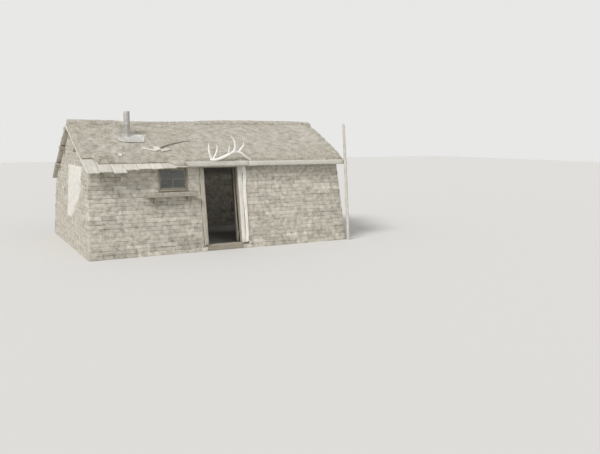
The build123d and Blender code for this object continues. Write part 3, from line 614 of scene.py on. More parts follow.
# Sods and nails laid by geometry nodes
def sod_block(xs, ys, zs):
    """One sod as a unit block on those lines, rounded at its edges."""
    unit, quads = box_lattice(xs, ys, zs)
    ends = np.abs(np.abs(unit) - 0.5) < 1e-6
    edges = ends[:, 0].astype(int) + (unit[:, 1] < -0.49) + ends[:, 2]
    pull = np.array([1.0, 1.0, 0.97, 0.94])[edges]
    unit = unit * np.stack([1 - (1 - pull) * 0.2, pull, pull], 1)
    return link("sod_block", new_mesh("sod_block", unit, quads))


def nail_block():
    """A nail head: a low eight-sided dome on its shank."""
    bm = bmesh.new()
    outline = ((0.0, 0.5), (0.3, 0.42), (0.5, 0.1), (0.5, -0.1), (0.2, -0.5), (0.0, -0.5))
    turns = np.linspace(0, 2 * math.pi, 8, endpoint=False)
    rings = [[bm.verts.new((r * math.cos(t), r * math.sin(t), z)) for t in turns] for r, z in outline]
    for lower, upper in zip(rings[1:], rings):
        for j in range(8):
            bm.faces.new([lower[j], lower[(j + 1) % 8], upper[(j + 1) % 8], upper[j]])
    bmesh.ops.remove_doubles(bm, verts=bm.verts, dist=1e-5)
    bmesh.ops.recalc_face_normals(bm, faces=bm.faces)
    mesh = bpy.data.meshes.new("nail_block")
    bm.to_mesh(mesh)
    bm.free()
    return link("nail_block", mesh)


def open_tree(name, sockets):
    """A geometry tree with the named inputs, and what they give."""
    tree = bpy.data.node_groups.new(name, "GeometryNodeTree")
    for label, kind in {"Geometry": "Geometry", **sockets, "Material": "Material"}.items():
        tree.interface.new_socket(label, in_out="INPUT", socket_type="NodeSocket" + kind)
    tree.interface.new_socket("Geometry", in_out="OUTPUT", socket_type="NodeSocketGeometry")
    return tree, add(tree, "NodeGroupInput").node.outputs


def close_tree(tree, given, points, block, turn, size):
    """Puts the block on every point with its turn and size, and makes it all one plain geometry."""
    shape = add(tree, "GeometryNodeObjectInfo", {"Object": given[block]}, "Geometry")
    spin = add(tree, "FunctionNodeEulerToRotation", {0: turn})
    laid = add(tree, "GeometryNodeInstanceOnPoints",
               {"Points": points, "Instance": shape, "Rotation": spin, "Scale": size})
    whole = add(tree, "GeometryNodeRealizeInstances", {"Geometry": laid})
    for label in ("Lump", "Crumb"):
        if label + " size" in given:
            whole = roughened(tree, whole, given[label + " size"], given[label + " height"])
    whole = add(tree, "GeometryNodeSetShadeSmooth", {"Geometry": whole})
    whole = add(tree, "GeometryNodeSetMaterial", {"Geometry": whole, "Material": given["Material"]})
    add(tree, "NodeGroupOutput", {0: whole})
    return tree


def roughened(tree, whole, size, height):
    """Moves every point by noise of that size and height."""
    per_metre = add(tree, MATH, {0: 1.0, 1: size}, operation="DIVIDE")
    at_point = add(tree, "GeometryNodeInputPosition")
    cloud = add(tree, NOISE, {"Vector": at_point, "Scale": per_metre, "Detail": 2.0}, "Color")
    centred = add(tree, VECTOR_MATH, {0: cloud, 1: (0.5, 0.5, 0.5)}, operation="SUBTRACT")
    shift = add(tree, VECTOR_MATH, {0: centred, "Scale": height}, operation="SCALE")
    return add(tree, "GeometryNodeSetPosition", {"Geometry": whole, "Offset": shift})


def laying_tree():
    """Lays a block on every point with the point's own size and turn, then roughens it all."""
    tree, given = open_tree("lay_blocks", {"Block": "Object", "Lump size": "Float", "Lump height": "Float",
                                           "Crumb size": "Float", "Crumb height": "Float"})
    size, turn = [add(tree, "GeometryNodeInputNamedAttribute", {"Name": label}, data_type="FLOAT_VECTOR")
                  for label in ("size", "turn")]
    return close_tree(tree, given, given["Geometry"], "Block", turn, size)


def growing_tree():
    """Scatters tufts over a turf mesh, thick where its cover attribute is high."""
    tree, given = open_tree("grow_tufts", {"Tuft": "Object", "Per square metre": "Float", "Seed": "Int"})
    cover = add(tree, "GeometryNodeInputNamedAttribute", {"Name": "cover"}, data_type="FLOAT")
    density = add(tree, MATH, {0: cover, 1: given["Per square metre"]}, operation="MULTIPLY")
    spots = add(tree, "GeometryNodeDistributePointsOnFaces",
                {"Mesh": given["Geometry"], "Density": density, "Seed": given["Seed"]})
    turns, sizes = ((-0.2, -0.2, 0.0), (0.2, 0.2, 6.283)), ((0.6, 0.6, 0.6), (1.3, 1.3, 1.4))
    turn, size = [add(tree, "FunctionNodeRandomValue", {0: low, 1: high, "Seed": given["Seed"]},
                      data_type="FLOAT_VECTOR") for low, high in (turns, sizes)]
    return close_tree(tree, given, spots, "Tuft", turn, size)


def evaluated(obj):
    """The mesh that an object's modifiers give. The object goes."""
    graph = bpy.context.evaluated_depsgraph_get()
    mesh = bpy.data.meshes.new_from_object(obj.evaluated_get(graph))
    bpy.data.objects.remove(obj)
    return mesh


def run_tree(tree, source, values, name):
    """Runs a tree on a mesh object and keeps the result as one plain mesh piece."""
    ids = {i.name: i.identifier for i in tree.interface.items_tree if i.in_out == "INPUT"}
    mod = source.modifiers.new("grow", "NODES")
    mod.node_group = tree
    for key, value in values.items():
        mod[ids[key]] = value
    mesh = evaluated(source)
    mesh.name = name
    set_points(mesh, get_points(mesh))
    mesh.polygons.foreach_set("material_index", [0] * len(mesh.polygons))
    return finish_piece(link(name, mesh), values["Material"], sharp=62)


def points_object(name, rows):
    """A mesh of loose points with a size, a turn, a tone and the height of their course each."""
    place, size, turn, tone, middle = zip(*rows)
    mesh = new_mesh(name, house(place))
    for label, kind, values in (("size", "FLOAT_VECTOR", size), ("turn", "FLOAT_VECTOR", turn),
                                ("tone", "FLOAT", tone), ("middle", "FLOAT", middle)):
        set_layer(mesh, label, kind, values)
    return link(name, mesh)


# The lengths sods were cut to, the shortest piece used up, and how deep a sod reaches in from the face
SOD_LENGTHS, SHORTEST_SOD, CORNER_DEPTH, SOD_DEPTH = (0.30, 0.33, 0.46, 0.55, 0.62, 0.74), 0.22, 0.30, 0.12
# The height of a course, what a sod stands proud or back, and how far its sides are from true
COURSE, PROUD, SUNK, SLACK, TILT = FRONT_TOP / 21, 0.006, 0.005, 0.002, 0.008
# Some sods are set further back: how many, and by how much
SET_BACK_SHARE, SET_BACK = 0.03, 0.006


def lay_run(rows, rng, start, end, levels, deep, place, heading=0.0, tone=0.0, spread=0.20):
    """One course between two ends, in sods of random length.

    deep says which end sods turn the corner, place(s, z) gives the wall face, and heading turns local X
    along the run. tone makes the whole run lighter or darker, which paints light on the left gable and shade
    on the inner wall, and spread is how far the sods differ at random.
    """
    left = end - start
    if left < 0.05:
        return
    lengths = []
    while left > 0.001:
        want = rng.choice(SOD_LENGTHS) * rng.uniform(0.93, 1.07)
        want = left if left - want < SHORTEST_SOD else want
        lengths.append(want)
        left -= want
    s, mid, high = start, sum(levels) / 2, levels[1] - levels[0]
    for k, length in enumerate(lengths):
        at_corner = (k == 0 and deep[0]) or (k == len(lengths) - 1 and deep[1])
        depth = CORNER_DEPTH if at_corner else SOD_DEPTH
        out = rng.uniform(-SUNK, PROUD) - (SET_BACK if rng.random() < SET_BACK_SHARE else 0.0)
        x, y = place(s + length / 2, mid)
        off = depth / 2 - out
        rows.append((
            (x - math.sin(heading) * off, y + math.cos(heading) * off, mid + rng.uniform(-0.0015, 0.0015)),
            (length - rng.uniform(-0.001, SLACK), depth, high - rng.uniform(-0.001, SLACK)),
            (rng.uniform(-0.02, 0.02), rng.uniform(-TILT, TILT), heading + rng.uniform(-TILT, TILT)),
            min(1.0, max(0.0, rng.gauss(0.5 + tone, spread))), mid,
        ))
        s += length


def courses(top):
    """The courses from the ground to that height: their levels, middle and whether gable sods run through."""
    levels = [k * COURSE for k in range(int(top / COURSE) + 1)]
    if top - levels[-1] > 0.02:
        levels.append(top)
    return [(pair, sum(pair) / 2, k % 2 == 0) for k, pair in enumerate(zip(levels, levels[1:]))]


# How near a point is to count as at a corner, where the gable courses end, and how far the courses sag
AT_CORNER, GABLE_TOP, SAG = 0.15, 2.9, 0.009


def follow_batter(obj, wall):
    """Slants the level courses with the battered faces and lets them sag a little, as laid."""
    p = get_points(obj.data) - CORNER
    z = p[:, 2].copy()
    middle = np.empty(len(z), np.float32)
    obj.data.attributes["middle"].data.foreach_get("value", middle)
    side, front, back = [face(z) - face(middle) for face in (gable_face, front_face, back_face)]
    if wall in ("left", "right"):
        p[:, 0] += side * (-1 if wall == "left" else 1)
        p[:, 1] += np.where((p[:, 1] < front_face(z) + AT_CORNER) & (z < FRONT_TOP), front, 0.0)
        p[:, 1] += np.where((p[:, 1] > back_face(z) - AT_CORNER) & (z < BACK_TOP), back, 0.0)
    elif wall != "inner":
        p[:, 1] += front if wall == "front" else back
        p[:, 0] += np.where(p[:, 0] < AT_CORNER - gable_face(z), -side, 0.0)
        p[:, 0] += np.where(p[:, 0] > LENGTH - AT_CORNER + gable_face(z), side, 0.0)
    top = {"front": FRONT_TOP, "back": BACK_TOP, "inner": BACK_TOP}.get(wall, GABLE_TOP)
    ease = np.clip(z / 0.2, 0, 1) * np.clip((top - z) / 0.2, 0, 1)
    p[:, 2] += SAG * value_noise(p * (1.0, 1.0, 0.6), 0.7, 44) * ease
    if wall in ("left", "right"):
        p[:, 2] = np.minimum(p[:, 2], deck_under(p[:, 1]) - 0.004)
    set_points(obj.data, p + CORNER)


# How finely a sod is divided on the sides that show, on the far sides and inside
fine_block = sod_block(
    (-0.5, -0.48, -0.41, -0.32, -0.23, -0.14, -0.05, 0.05, 0.14, 0.23, 0.32, 0.41, 0.48, 0.5),
    (-0.5, -0.44, 0.5), (-0.5, -0.41, -0.25, -0.08, 0.09, 0.26, 0.41, 0.5))
plain_block = sod_block((-0.5, -0.47, -0.34, -0.17, 0.0, 0.17, 0.34, 0.47, 0.5), (-0.5, -0.42, 0.5),
                        (-0.5, -0.40, -0.16, 0.10, 0.39, 0.5))
rough_block = sod_block((-0.5, -0.42, 0.0, 0.42, 0.5), (-0.5, -0.42, 0.5), (-0.5, -0.36, 0.36, 0.5))
SOD_LOOK = {"Material": sod, "Lump size": 0.16, "Lump height": 0.018, "Crumb size": 0.030,
            "Crumb height": 0.009}
# The sunlit gable is rubbed smoother
GABLE_LOOK = {**SOD_LOOK, "Lump height": 0.010, "Crumb height": 0.006}


def front_place(s, z):
    """Where the front courses run."""
    return s, front_face(z)


# The front courses stop at the casings, the window frame and the sill's ends
rng = random.Random(11)
front_left, front_right, back_rows, inner_rows = [], [], [], []
for levels, mid, bond in courses(FRONT_TOP):
    reach = gable_face(mid) if bond else gable_face(mid) - CORNER_DEPTH
    if levels[1] <= SILL + 0.02:
        stop_left, stop_right = DOOR_LEFT - JAMB, DOOR_RIGHT + JAMB
    else:
        share = (mid - SILL) / (FRONT_TOP - SILL)
        stop_left = CASING_LEFT
        stop_right = CASING_IN + CASING_FOOT + (CASING_TOP - CASING_FOOT) * share
    spans = [(-reach, stop_left, bond)]
    if levels[1] > WINDOW_SILL + 0.01:
        spans = [(-reach, WINDOW_LEFT, bond), (WINDOW_RIGHT, stop_left, False)]
    for a, b, deep in spans:
        lay_run(front_left, rng, a, b, levels, (deep, False), front_place)
    lay_run(front_right, rng, stop_right, LENGTH + reach, levels, (False, bond), front_place, 0.0, 0.12)
for levels, mid, bond in courses(BACK_TOP):
    reach = gable_face(mid) - (0.0 if bond else CORNER_DEPTH)
    lay_run(back_rows, rng, -reach, LENGTH + reach, levels, (bond, bond),
            lambda s, z: (LENGTH - s, back_face(z)), math.pi)
    # The inner sods are toned 0.1 darker: painted shade of the room
    lay_run(inner_rows, rng, WALL + 0.02, LENGTH - WALL - 0.02, levels, (False, False),
            lambda s, z: (s, DEPTH - WALL), 0.0, -0.1)


# How deep the ends of the wall plates show in the gables
PLATE_END = 0.156


def gable_rows(left):
    """The gable courses stop under the roof boards and leave the wall plates' ends bare."""
    rows = []
    for levels, mid, bond in courses(RIDGE_DECK):
        z0, inset = levels[0], CORNER_DEPTH if bond else 0.0
        if mid < FRONT_TOP:
            near = front_face(mid) + inset
        else:
            plate = PLATE_END if z0 < FRONT_TOP + 0.15 else 0.005
            near = max(plate, RIDGE_Y - (RIDGE_DECK - z0) / FRONT_SLOPE)
        if mid < BACK_TOP:
            far = back_face(mid) - inset
        else:
            plate = PLATE_END if z0 < BACK_TOP + 0.1 else 0.005
            far = min(DEPTH - plate, RIDGE_Y + (RIDGE_DECK - z0) / BACK_SLOPE)
        deep = (not bond and mid < FRONT_TOP, not bond and mid < BACK_TOP)
        if left:
            # The left gable's sods are toned 0.1 lighter: painted light, for the sun that falls on that gable
            lay_run(rows, rng, -far, -near, levels, deep[::-1], lambda s, z: (-gable_face(z), -s),
                    -math.pi / 2, 0.1, 0.09)
        else:
            lay_run(rows, rng, near, far, levels, deep, lambda s, z: (LENGTH + gable_face(z), s), math.pi / 2)
    return rows


laying = laying_tree()
for name, rows, wall, block in (
        ("front_sods_left", front_left, "front", fine_block),
        ("front_sods_right", front_right, "front", fine_block),
        ("back_sods", back_rows, "back", plain_block), ("inner_back_sods", inner_rows, "inner", rough_block),
        ("left_gable_sods", gable_rows(True), "left", fine_block),
        ("right_gable_sods", gable_rows(False), "right", plain_block)):
    look = {"Block": block, **(GABLE_LOOK if wall == "left" else SOD_LOOK)}
    follow_batter(run_tree(laying, points_object(name + "_points", rows), look, name), wall)
for block in (fine_block, plain_block, rough_block):
    bpy.data.objects.remove(block)

# How far the core of a wall lies inside its skin of sods, and how near a point is to count as on a face
CORE_INSET, ON_FACE = 0.016, 0.002


def wall_core(node):
    """The wall inside its skin of sods: the CAD solid drawn in from its weathered faces."""
    mesh = nodes[node].data.copy()
    bm = bmesh.new()
    bm.from_mesh(mesh)
    bmesh.ops.remove_doubles(bm, verts=bm.verts, dist=1e-5)
    bm.to_mesh(mesh)
    bm.free()
    p = get_points(mesh) - CORNER
    x, y, z = p.T.copy()
    out = gable_face(z)
    p[:, 0] += np.where(np.abs(x + out) < ON_FACE, CORE_INSET, 0.0)
    p[:, 0] -= np.where(np.abs(x - LENGTH - out) < ON_FACE, CORE_INSET, 0.0)
    p[:, 1] += np.where((np.abs(y - front_face(z)) < ON_FACE) & (z < FRONT_TOP + 0.001), CORE_INSET, 0.0)
    p[:, 1] -= np.where((np.abs(y - back_face(z)) < ON_FACE) & (z < BACK_TOP + 0.001), CORE_INSET, 0.0)
    if node == "back_wall":
        p[:, 1] += np.where(np.abs(y - DEPTH + WALL) < ON_FACE, CORE_INSET, 0.0)
    set_points(mesh, p + CORNER)
    # The core earth is drawn darker than the face sods, partly painted shade in the joints
    finish_piece(link(node + "_core", mesh), core, stands_for=(node,))


for node in ("left_gable_wall", "right_gable_wall", "front_wall_left", "front_wall_right", "back_wall"):
    wall_core(node)


# Turf grown from the CAD slabs
def worked(mesh, kind, under=False, **settings):
    """The mesh with one modifier run on it, on all of it or on its underside alone."""
    obj = link("worked", mesh)
    mod = obj.modifiers.new("work", kind)
    for key, value in settings.items():
        setattr(mod, key, value)
    if under:
        low = np.nonzero(get_points(mesh, "normal")[:, 2] < -0.5)[0]
        obj.vertex_groups.new(name="under").add(low.tolist(), 1.0, "REPLACE")
        mod.vertex_group = "under"
    return evaluated(obj)


def even_mesh(mesh, voxel):
    """A closed mesh as even small quads, all its overlapping parts made one."""
    return worked(mesh.copy(), "REMESH", mode="VOXEL", voxel_size=voxel)


# What lies on the turf, seen from the pipe's foot: right, up the slope, half length, half width, degrees
LYING = ((0.05, -0.18, 0.40, 0.30, 0.0), (0.310, -0.885, 0.21, 0.05, -29.0),
         (0.519, -0.832, 0.09, 0.12, -6.0), (0.705, -0.925, 0.14, 0.06, 20.0),
         (-0.459, -1.175, 0.055, 0.09, -15.0))
# How rough the turf is, how far its cut edges have crumbled back, and how deep it is pressed
ROUGH, CRUMBLED, PRESSED = 0.009, 0.028, 0.006


def pressed(local):
    """Where the flashing and the loose boards press the turf flat: 1 under them, 0 away from them."""
    right, up = local[:, 0] - PIPE[0], (local[:, 1] - PIPE[1]) / COS_PITCH
    mask = np.zeros(len(local))
    for x, y, half_long, half_wide, degrees in LYING:
        t, dx, dy = math.radians(degrees), right - x, up - y
        a = np.abs(dx * math.cos(t) + dy * math.sin(t)) - half_long
        b = np.abs(-dx * math.sin(t) + dy * math.cos(t)) - half_wide
        mask = np.maximum(mask, np.clip(1 - np.maximum(a, b) / 0.05, 0, 1))
    return mask


def lumpy(node, name, voxel, size, seed, clumps=None):
    """Turf: the CAD slab roughened, its cut edges crumbled, its underside left flat on the boards."""
    mesh = even_mesh(nodes[node].data, voxel)
    p, n = get_points(mesh), get_points(mesh, "normal")
    local = p - CORNER
    move = ROUGH * rough_noise(local, size, 4, seed)
    if clumps:
        move = move + clumps(local) * np.clip(n[:, 2], 0, 1)
    rim = np.clip((np.hypot(n[:, 0], n[:, 1]) - 0.55) / 0.3, 0, 1)
    move = move - CRUMBLED * rim * np.clip(0.4 + 0.9 * rough_noise(local, 0.16, 2, seed + 9), 0, 1)
    flat = pressed(local)
    move = np.where(n[:, 2] < -0.5, 0.0, move * (1 - flat) - PRESSED * flat)
    set_points(mesh, p + n * move[:, None])
    mesh = worked(mesh, "DECIMATE", under=True, ratio=0.55)
    return finish_piece(link(name, mesh), turf, stands_for=(node,), sharp=180)


def seams(local):
    """Shallow furrows between the sods laid across the slope, half healed over."""
    wide, long = 0.33, 0.58
    warped = local[:, :2] + 0.05 * np.stack([value_noise(local, 0.35, 51), value_noise(local, 0.35, 52)], 1)
    across = warped[:, 1] / wide
    row = np.floor(across)
    along = warped[:, 0] / long + 0.37 * row + 0.2 * np.sin(7.1 * row)
    gap = np.minimum(wide * np.abs(across - np.round(across)), long * np.abs(along - np.round(along)))
    return -0.014 * np.clip(1 - gap / 0.035, 0, 1) * (0.6 + 0.4 * value_noise(local, 0.6, 53))


def broken_sods(local):
    """Left third of the roof: separate worn sods with furrows between them, fading to the right."""
    cells = value_noise(local * np.array([1.0, 1.0, 0.0]), 0.20, 5) + 0.35 * value_noise(local, 0.07, 6)
    fade = np.clip((2.7 - local[:, 0]) / 1.2, 0.10, 1.0)
    return 0.018 * np.tanh(cells * 4) * fade + seams(local) * np.clip(fade + 0.35, 0, 1)


front_turf = lumpy("roof_turf_front", "front_slope_turf", 0.024, 0.30, 3, broken_sods)
back_turf = lumpy("roof_turf_back", "back_slope_turf", 0.030, 0.30, 4, seams)
ridge = lumpy("ridge_turf", "ridge_sods", 0.022, 0.16, 9)


def tuft_object():
    """A wisp of four dead blades lying over, each a closed three-sided spike with a bend."""
    rng = random.Random(4)
    points, faces = [], []
    for k in range(4):
        angle = 1.6 * k + rng.uniform(-0.5, 0.5)
        reach, rise = rng.uniform(0.03, 0.06), rng.uniform(0.006, 0.016)
        away = np.array([math.cos(angle), math.sin(angle), 0])
        side = np.array([-math.sin(angle), math.cos(angle), 0])
        root = np.array([rng.uniform(-0.012, 0.012), rng.uniform(-0.012, 0.012), -0.006])
        for centre, wide in ((root, 0.0030), (root + away * 0.4 * reach + (0, 0, rise + 0.006), 0.0026)):
            points += [centre + side * wide, centre - side * wide, centre + (0, 0, wide)]
        points.append(root + away * reach + (0, 0, 0.6 * rise + 0.004))
        for face in ([0, 1, 2], [3, 4, 1, 0], [4, 5, 2, 1], [5, 3, 0, 2], [6, 4, 3], [6, 5, 4], [6, 3, 5]):
            faces.append([7 * k + i for i in face])
    return link("tuft", new_mesh("tuft", points, faces))


def cover_of(obj, seed):
    """A copy of a turf mesh that says where grass stands: patchy, only on upward faces.

    It is thin on the middle of the front slope, weedy at its right eave, and thick in a fringe at the edge.
    """
    mesh = obj.data.copy()
    p, n = get_points(mesh) - CORNER, get_points(mesh, "normal")
    patches = 0.15 + 0.85 * np.clip(0.5 + 0.9 * rough_noise(p, 0.5, 2, seed), 0, 1)
    weedy = np.clip((p[:, 0] - 5.2) / 1.2, 0, 1) * np.clip(1 - np.abs(p[:, 1] - 0.15) / 0.5, 0, 1)
    bare = 1 - 0.75 * np.clip((p[:, 0] - 2.4) / 0.8, 0, 1) * np.clip((p[:, 1] + 0.1) / 0.4, 0, 1)
    column = np.floor(p[:, 0] / 0.1).astype(int)
    column -= column.min()
    lower_edge = np.full(column.max() + 1, np.inf)
    np.minimum.at(lower_edge, column, p[:, 1])
    fringe = np.clip(1.5 - (p[:, 1] - lower_edge[column]) / 0.10, 0, 1)
    cover = (patches * bare + 0.8 * weedy + 1.3 * fringe) * (n[:, 2] > 0.45) * (1 - pressed(p))
    set_layer(mesh, "cover", "FLOAT", cover)
    return link(obj.name + "_cover", mesh)


growing, tuft = growing_tree(), tuft_object()
for source, name, seed, per_metre in (
        (front_turf, "front_slope_grass", 1, 420.0), (back_turf, "back_slope_grass", 2, 260.0),
        (ridge, "ridge_grass", 3, 260.0)):
    look = {"Tuft": tuft, "Material": straw, "Per square metre": per_metre, "Seed": seed}
    run_tree(growing, cover_of(source, seed), look, name)
bpy.data.objects.remove(tuft)

# CAD nodes whose shape is right keep it
for node, material in (
        ("front_eave_fill", core), ("back_eave_fill", core), ("front_wall_plate", plate_wood),
        ("back_wall_plate", plate_wood), ("shelf_brackets", bracket_wood), ("hinge_straps", iron),
        ("hinge_pintles", iron), ("door_handle", iron), ("window_glass", glass)):
    paint(nodes[node], material)

# Boards of the roof, the eave, the doorway and the shelf
rng = random.Random(23)
ROOF_WEAR = {"wobble": 0.004, "bow": 0.004, "cup": 0.003}
FRAME_WEAR = {"wobble": 0.001, "ragged": (0.001, 0.001), "bow": 0.001, "cup": 0.0005}
BATTEN_WEAR = {"wobble": 0.001, "ragged": (0.002, 0.002), "bow": 0.0, "cup": 0.0}
BARE_EAVE_END = 2.1


def board_piece(name, node, material, slot="weathered_wood", body="house", first=low_left, **wear):
    """A piece of planks on the boards of one CAD node."""
    shapes = [plank(board, rng, **wear) for board in hexes(node, first)]
    make_piece(name, shapes, material, body, (node,))


shapes = []
for board in hexes("roof_boards_front"):
    bare = board[..., 0].mean() < BARE_EAVE_END
    droop = rng.uniform(-0.012, 0.016) if bare else 0.0
    shapes.append(plank(board, rng, ragged=(0.022 if bare else 0.006, 0.003), droop=droop, **ROOF_WEAR))
make_piece("front_roof_planks", shapes, board_wood, stands_for=("roof_boards_front",))
board_piece("back_roof_planks", "roof_boards_back", board_wood, ragged=(0.012, 0.003), step=0.16, **ROOF_WEAR)
shapes = [plank(board, rng, ragged=(0.03 if k == 0 else 0.004, 0.004), bow=0.005, cup=0.002)
          for k, board in enumerate(hexes("eave_plank"))]
make_piece("eave_planks", shapes, plank_wood, stands_for=("eave_plank",))
board_piece("board_ends_on_turf", "loose_boards", plank_wood, "pale_wood", ragged=(0.015, 0.015), **ROOF_WEAR)
board_piece("shelf_plank", "window_shelf", jamb_wood, wobble=0.002, bow=0.002, cup=0.001)

# Doorway: jambs with their stops, sill, head, and the whitewashed casings, the right one of two boards
shapes = []
for jamb, stop in (((DOOR_LEFT - JAMB, DOOR_LEFT), (DOOR_LEFT - 0.001, DOOR_LEFT + 0.012)),
                   ((DOOR_RIGHT, DOOR_RIGHT + JAMB), (DOOR_RIGHT - 0.012, DOOR_RIGHT + 0.001))):
    shapes.append(plank(member(jamb, (0.0, 0.130), (SILL, HEAD), True), rng, **FRAME_WEAR))
    shapes.append(plank(member(stop, (0.068, 0.094), (SILL, HEAD), True), rng, **BATTEN_WEAR))
shapes += [plank(board, rng, **FRAME_WEAR) for board in hexes("door_head")]
make_piece("door_frame_boards", shapes, jamb_wood,
           stands_for=("door_jamb_left", "door_jamb_right", "door_head"))
board_piece("worn_sill", "door_sill", jamb_wood, ragged=(0.002, 0.002), bow=0.002, cup=-0.004, step=0.05)
board_piece("left_casing_board", "door_casing_left", grey_casing_wood, wobble=0.004, ragged=(0.004, 0.003),
            bow=0.002, cup=0.002)
casing = hexes("door_casing_right")[0]
shapes = [plank(part_of(casing, 0.0, 0.52), rng, ragged=(0.006, 0.003), bow=0.002, cup=0.002),
          plank(part_of(casing, 0.54, 1.0), rng, 0.012, (0.025, 0.004), cup=0.002, step=0.04)]
make_piece("right_casing_boards", shapes, casing_wood, stands_for=("door_casing_right",))
board_piece("leaf_boards", "door_boards", door_wood, body="door", first=low_front, wobble=0.001,
            ragged=(0.004, 0.003), bow=0.001, cup=0.001)
board_piece("leaf_ledges", "door_ledges", jamb_wood, body="door", first=low_front, **BATTEN_WEAR)

# Window: frame, sash with its glazing bars, old glass
FRAME_WIDE, SASH_WIDE, SASH_GAP, HALF_BAR = 0.035, 0.042, 0.0003, 0.010
x0, x1, z0, z1 = WINDOW_LEFT, WINDOW_RIGHT, WINDOW_SILL, FRONT_TOP
shapes = four_members((x0, x1), (0.0, 0.110), (z0, z1), FRAME_WIDE, rng, wobble=0.0008,
                      ragged=(0.0005, 0.0005), bow=0.0005, cup=0.0005)
make_piece("window_frame_boards", shapes, jamb_wood, stands_for=("window_frame",))
x0, x1 = x0 + FRAME_WIDE + SASH_GAP, x1 - FRAME_WIDE - SASH_GAP
z0, z1 = z0 + FRAME_WIDE + SASH_GAP, z1 - FRAME_WIDE - SASH_GAP
shapes = four_members((x0, x1), (0.034, 0.064), (z0, z1), SASH_WIDE, rng, wobble=0.0005,
                      ragged=(0.0005, 0.0005), bow=0.0, cup=0.0)
x, z, half = (x0 + x1) / 2, (z0 + z1) / 2, HALF_BAR
for xs, zs, upright in (((x - half, x + half), (z0 + SASH_WIDE, z1 - SASH_WIDE), True),
                        ((x0 + SASH_WIDE, x - half), (z - half, z + half), False),
                        ((x + half, x1 - SASH_WIDE), (z - half, z + half), False)):
    shapes.append(plank(member(xs, (0.038, 0.060), zs, upright), rng, 0.0004, (0, 0), 0, 0))
make_piece("sash_with_bars", shapes, sash_wood, stands_for=("window_sash",))

# Logs: knobbly poles, flat on top where the roof boards lie
RIDGE_RADIUS, PURLIN_RADIUS, LOG_OVERHANG = 0.095, 0.072, 0.135
FRONT_PURLIN, MIDDLE_PURLIN, BACK_PURLIN = 1.010, RIDGE_Y + 0.49 * (DEPTH - WALL - RIDGE_Y), 3.900


def log_shape(y, radius, seed):
    """A log along the house, under the roof boards at that depth."""
    slope = FRONT_SLOPE if y < RIDGE_Y else BACK_SLOPE
    if y == RIDGE_Y:
        z = float(deck_under(y)) - radius
    else:
        z = float(deck_under(y)) - (radius - 0.008) * math.hypot(1.0, slope)
    rng = random.Random(seed)
    path = [(x, y + rng.uniform(-0.004, 0.004), z + rng.uniform(-0.004, 0.002))
            for x in np.linspace(-LOG_OVERHANG, LENGTH + LOG_OVERHANG, 12)]
    points, faces = tube(path, [radius * 0.97, radius * 0.99, radius * 0.98], 24, 110, 0.006, 0.14, seed)
    points[:, 2] = np.minimum(points[:, 2], deck_under(points[:, 1]) - 0.0005)
    return points, faces


for name, node, radius, logs in (
        ("ridge_log", "ridge_pole", RIDGE_RADIUS, [(RIDGE_Y, 1)]),
        ("front_purlin_log", "front_purlin", PURLIN_RADIUS, [(FRONT_PURLIN, 2)]),
        ("back_purlin_logs", "back_purlins", PURLIN_RADIUS, [(MIDDLE_PURLIN, 3), (BACK_PURLIN, 4)])):
    shapes = [log_shape(y, radius, seed) for y, seed in logs]
    make_piece(name, shapes, log_wood, stands_for=(node,))

# Corner pole: peeled, a few knots, pointed with an axe
POLE_FOOT, POLE_TOP, POLE_POINT = np.array([6.800, -0.420, 0.0]), np.array([6.7573, -0.1690, 3.185]), 0.09


def pole_at(z):
    """The middle of the leaning pole at that height."""
    return POLE_FOOT + (POLE_TOP - POLE_FOOT) * z / POLE_TOP[2]


rng = random.Random(5)
path = [pole_at(z) + (rng.uniform(-0.005, 0.005), rng.uniform(-0.004, 0.004), 0)
        for z in np.linspace(0, POLE_TOP[2] - POLE_POINT, 9)]
points, faces = tube([*path, POLE_TOP], [*np.linspace(0.042, 0.034, 9), 0.007], 22, 150, 0.0025, 0.07, 8)
for z, turn in ((0.62, 0.4), (1.31, 3.9), (1.88, 5.1), (2.47, 1.2), (2.83, 4.4)):
    knot = pole_at(z) + np.array([math.cos(turn), math.sin(turn), 0]) * 0.038
    away = (points - pole_at(z)) * (1, 1, 0)
    away /= np.linalg.norm(away, axis=1)[:, None] + 1e-9
    points += away * (0.009 * np.exp(-((points - knot) ** 2).sum(1) / 0.022 ** 2))[:, None]
make_piece("peeled_corner_pole", [(points, faces)], pole_wood, stands_for=("corner_pole",))

# Dead branch on the turf: its stem, then twigs as (root, tip, lift off the turf, thickness)
STEM_LIFT = 0.018
stem = on_turf([0.635, 0.829, 1.109, 1.390, 1.530], [-0.795, -0.667, -0.513, -0.419, -0.384], STEM_LIFT)
shapes = [tube(stem, [0.014, 0.012, 0.011, 0.009, 0.005], 10, 60, 0.003, 0.05, 1)]
for (x0, y0), (x1, y1), lift, thick in (
        ((0.829, -0.667), (0.90, -0.57), 0.045, 0.008), ((1.109, -0.513), (1.16, -0.60), 0.03, 0.007),
        ((1.25, -0.462), (1.33, -0.37), 0.05, 0.006), ((1.39, -0.419), (1.50, -0.455), 0.03, 0.006)):
    bent = on_turf([x0, (x0 + x1) / 2 + 0.01, x1], [y0, (y0 + y1) / 2, y1], [STEM_LIFT, lift, lift * 0.8])
    shapes.append(tube(bent, [thick, thick * 0.8, thick * 0.4], 7, 12, 0.001, 0.02, 2))
make_piece("dead_branch", shapes, dark_wood, stands_for=("roof_branch",))

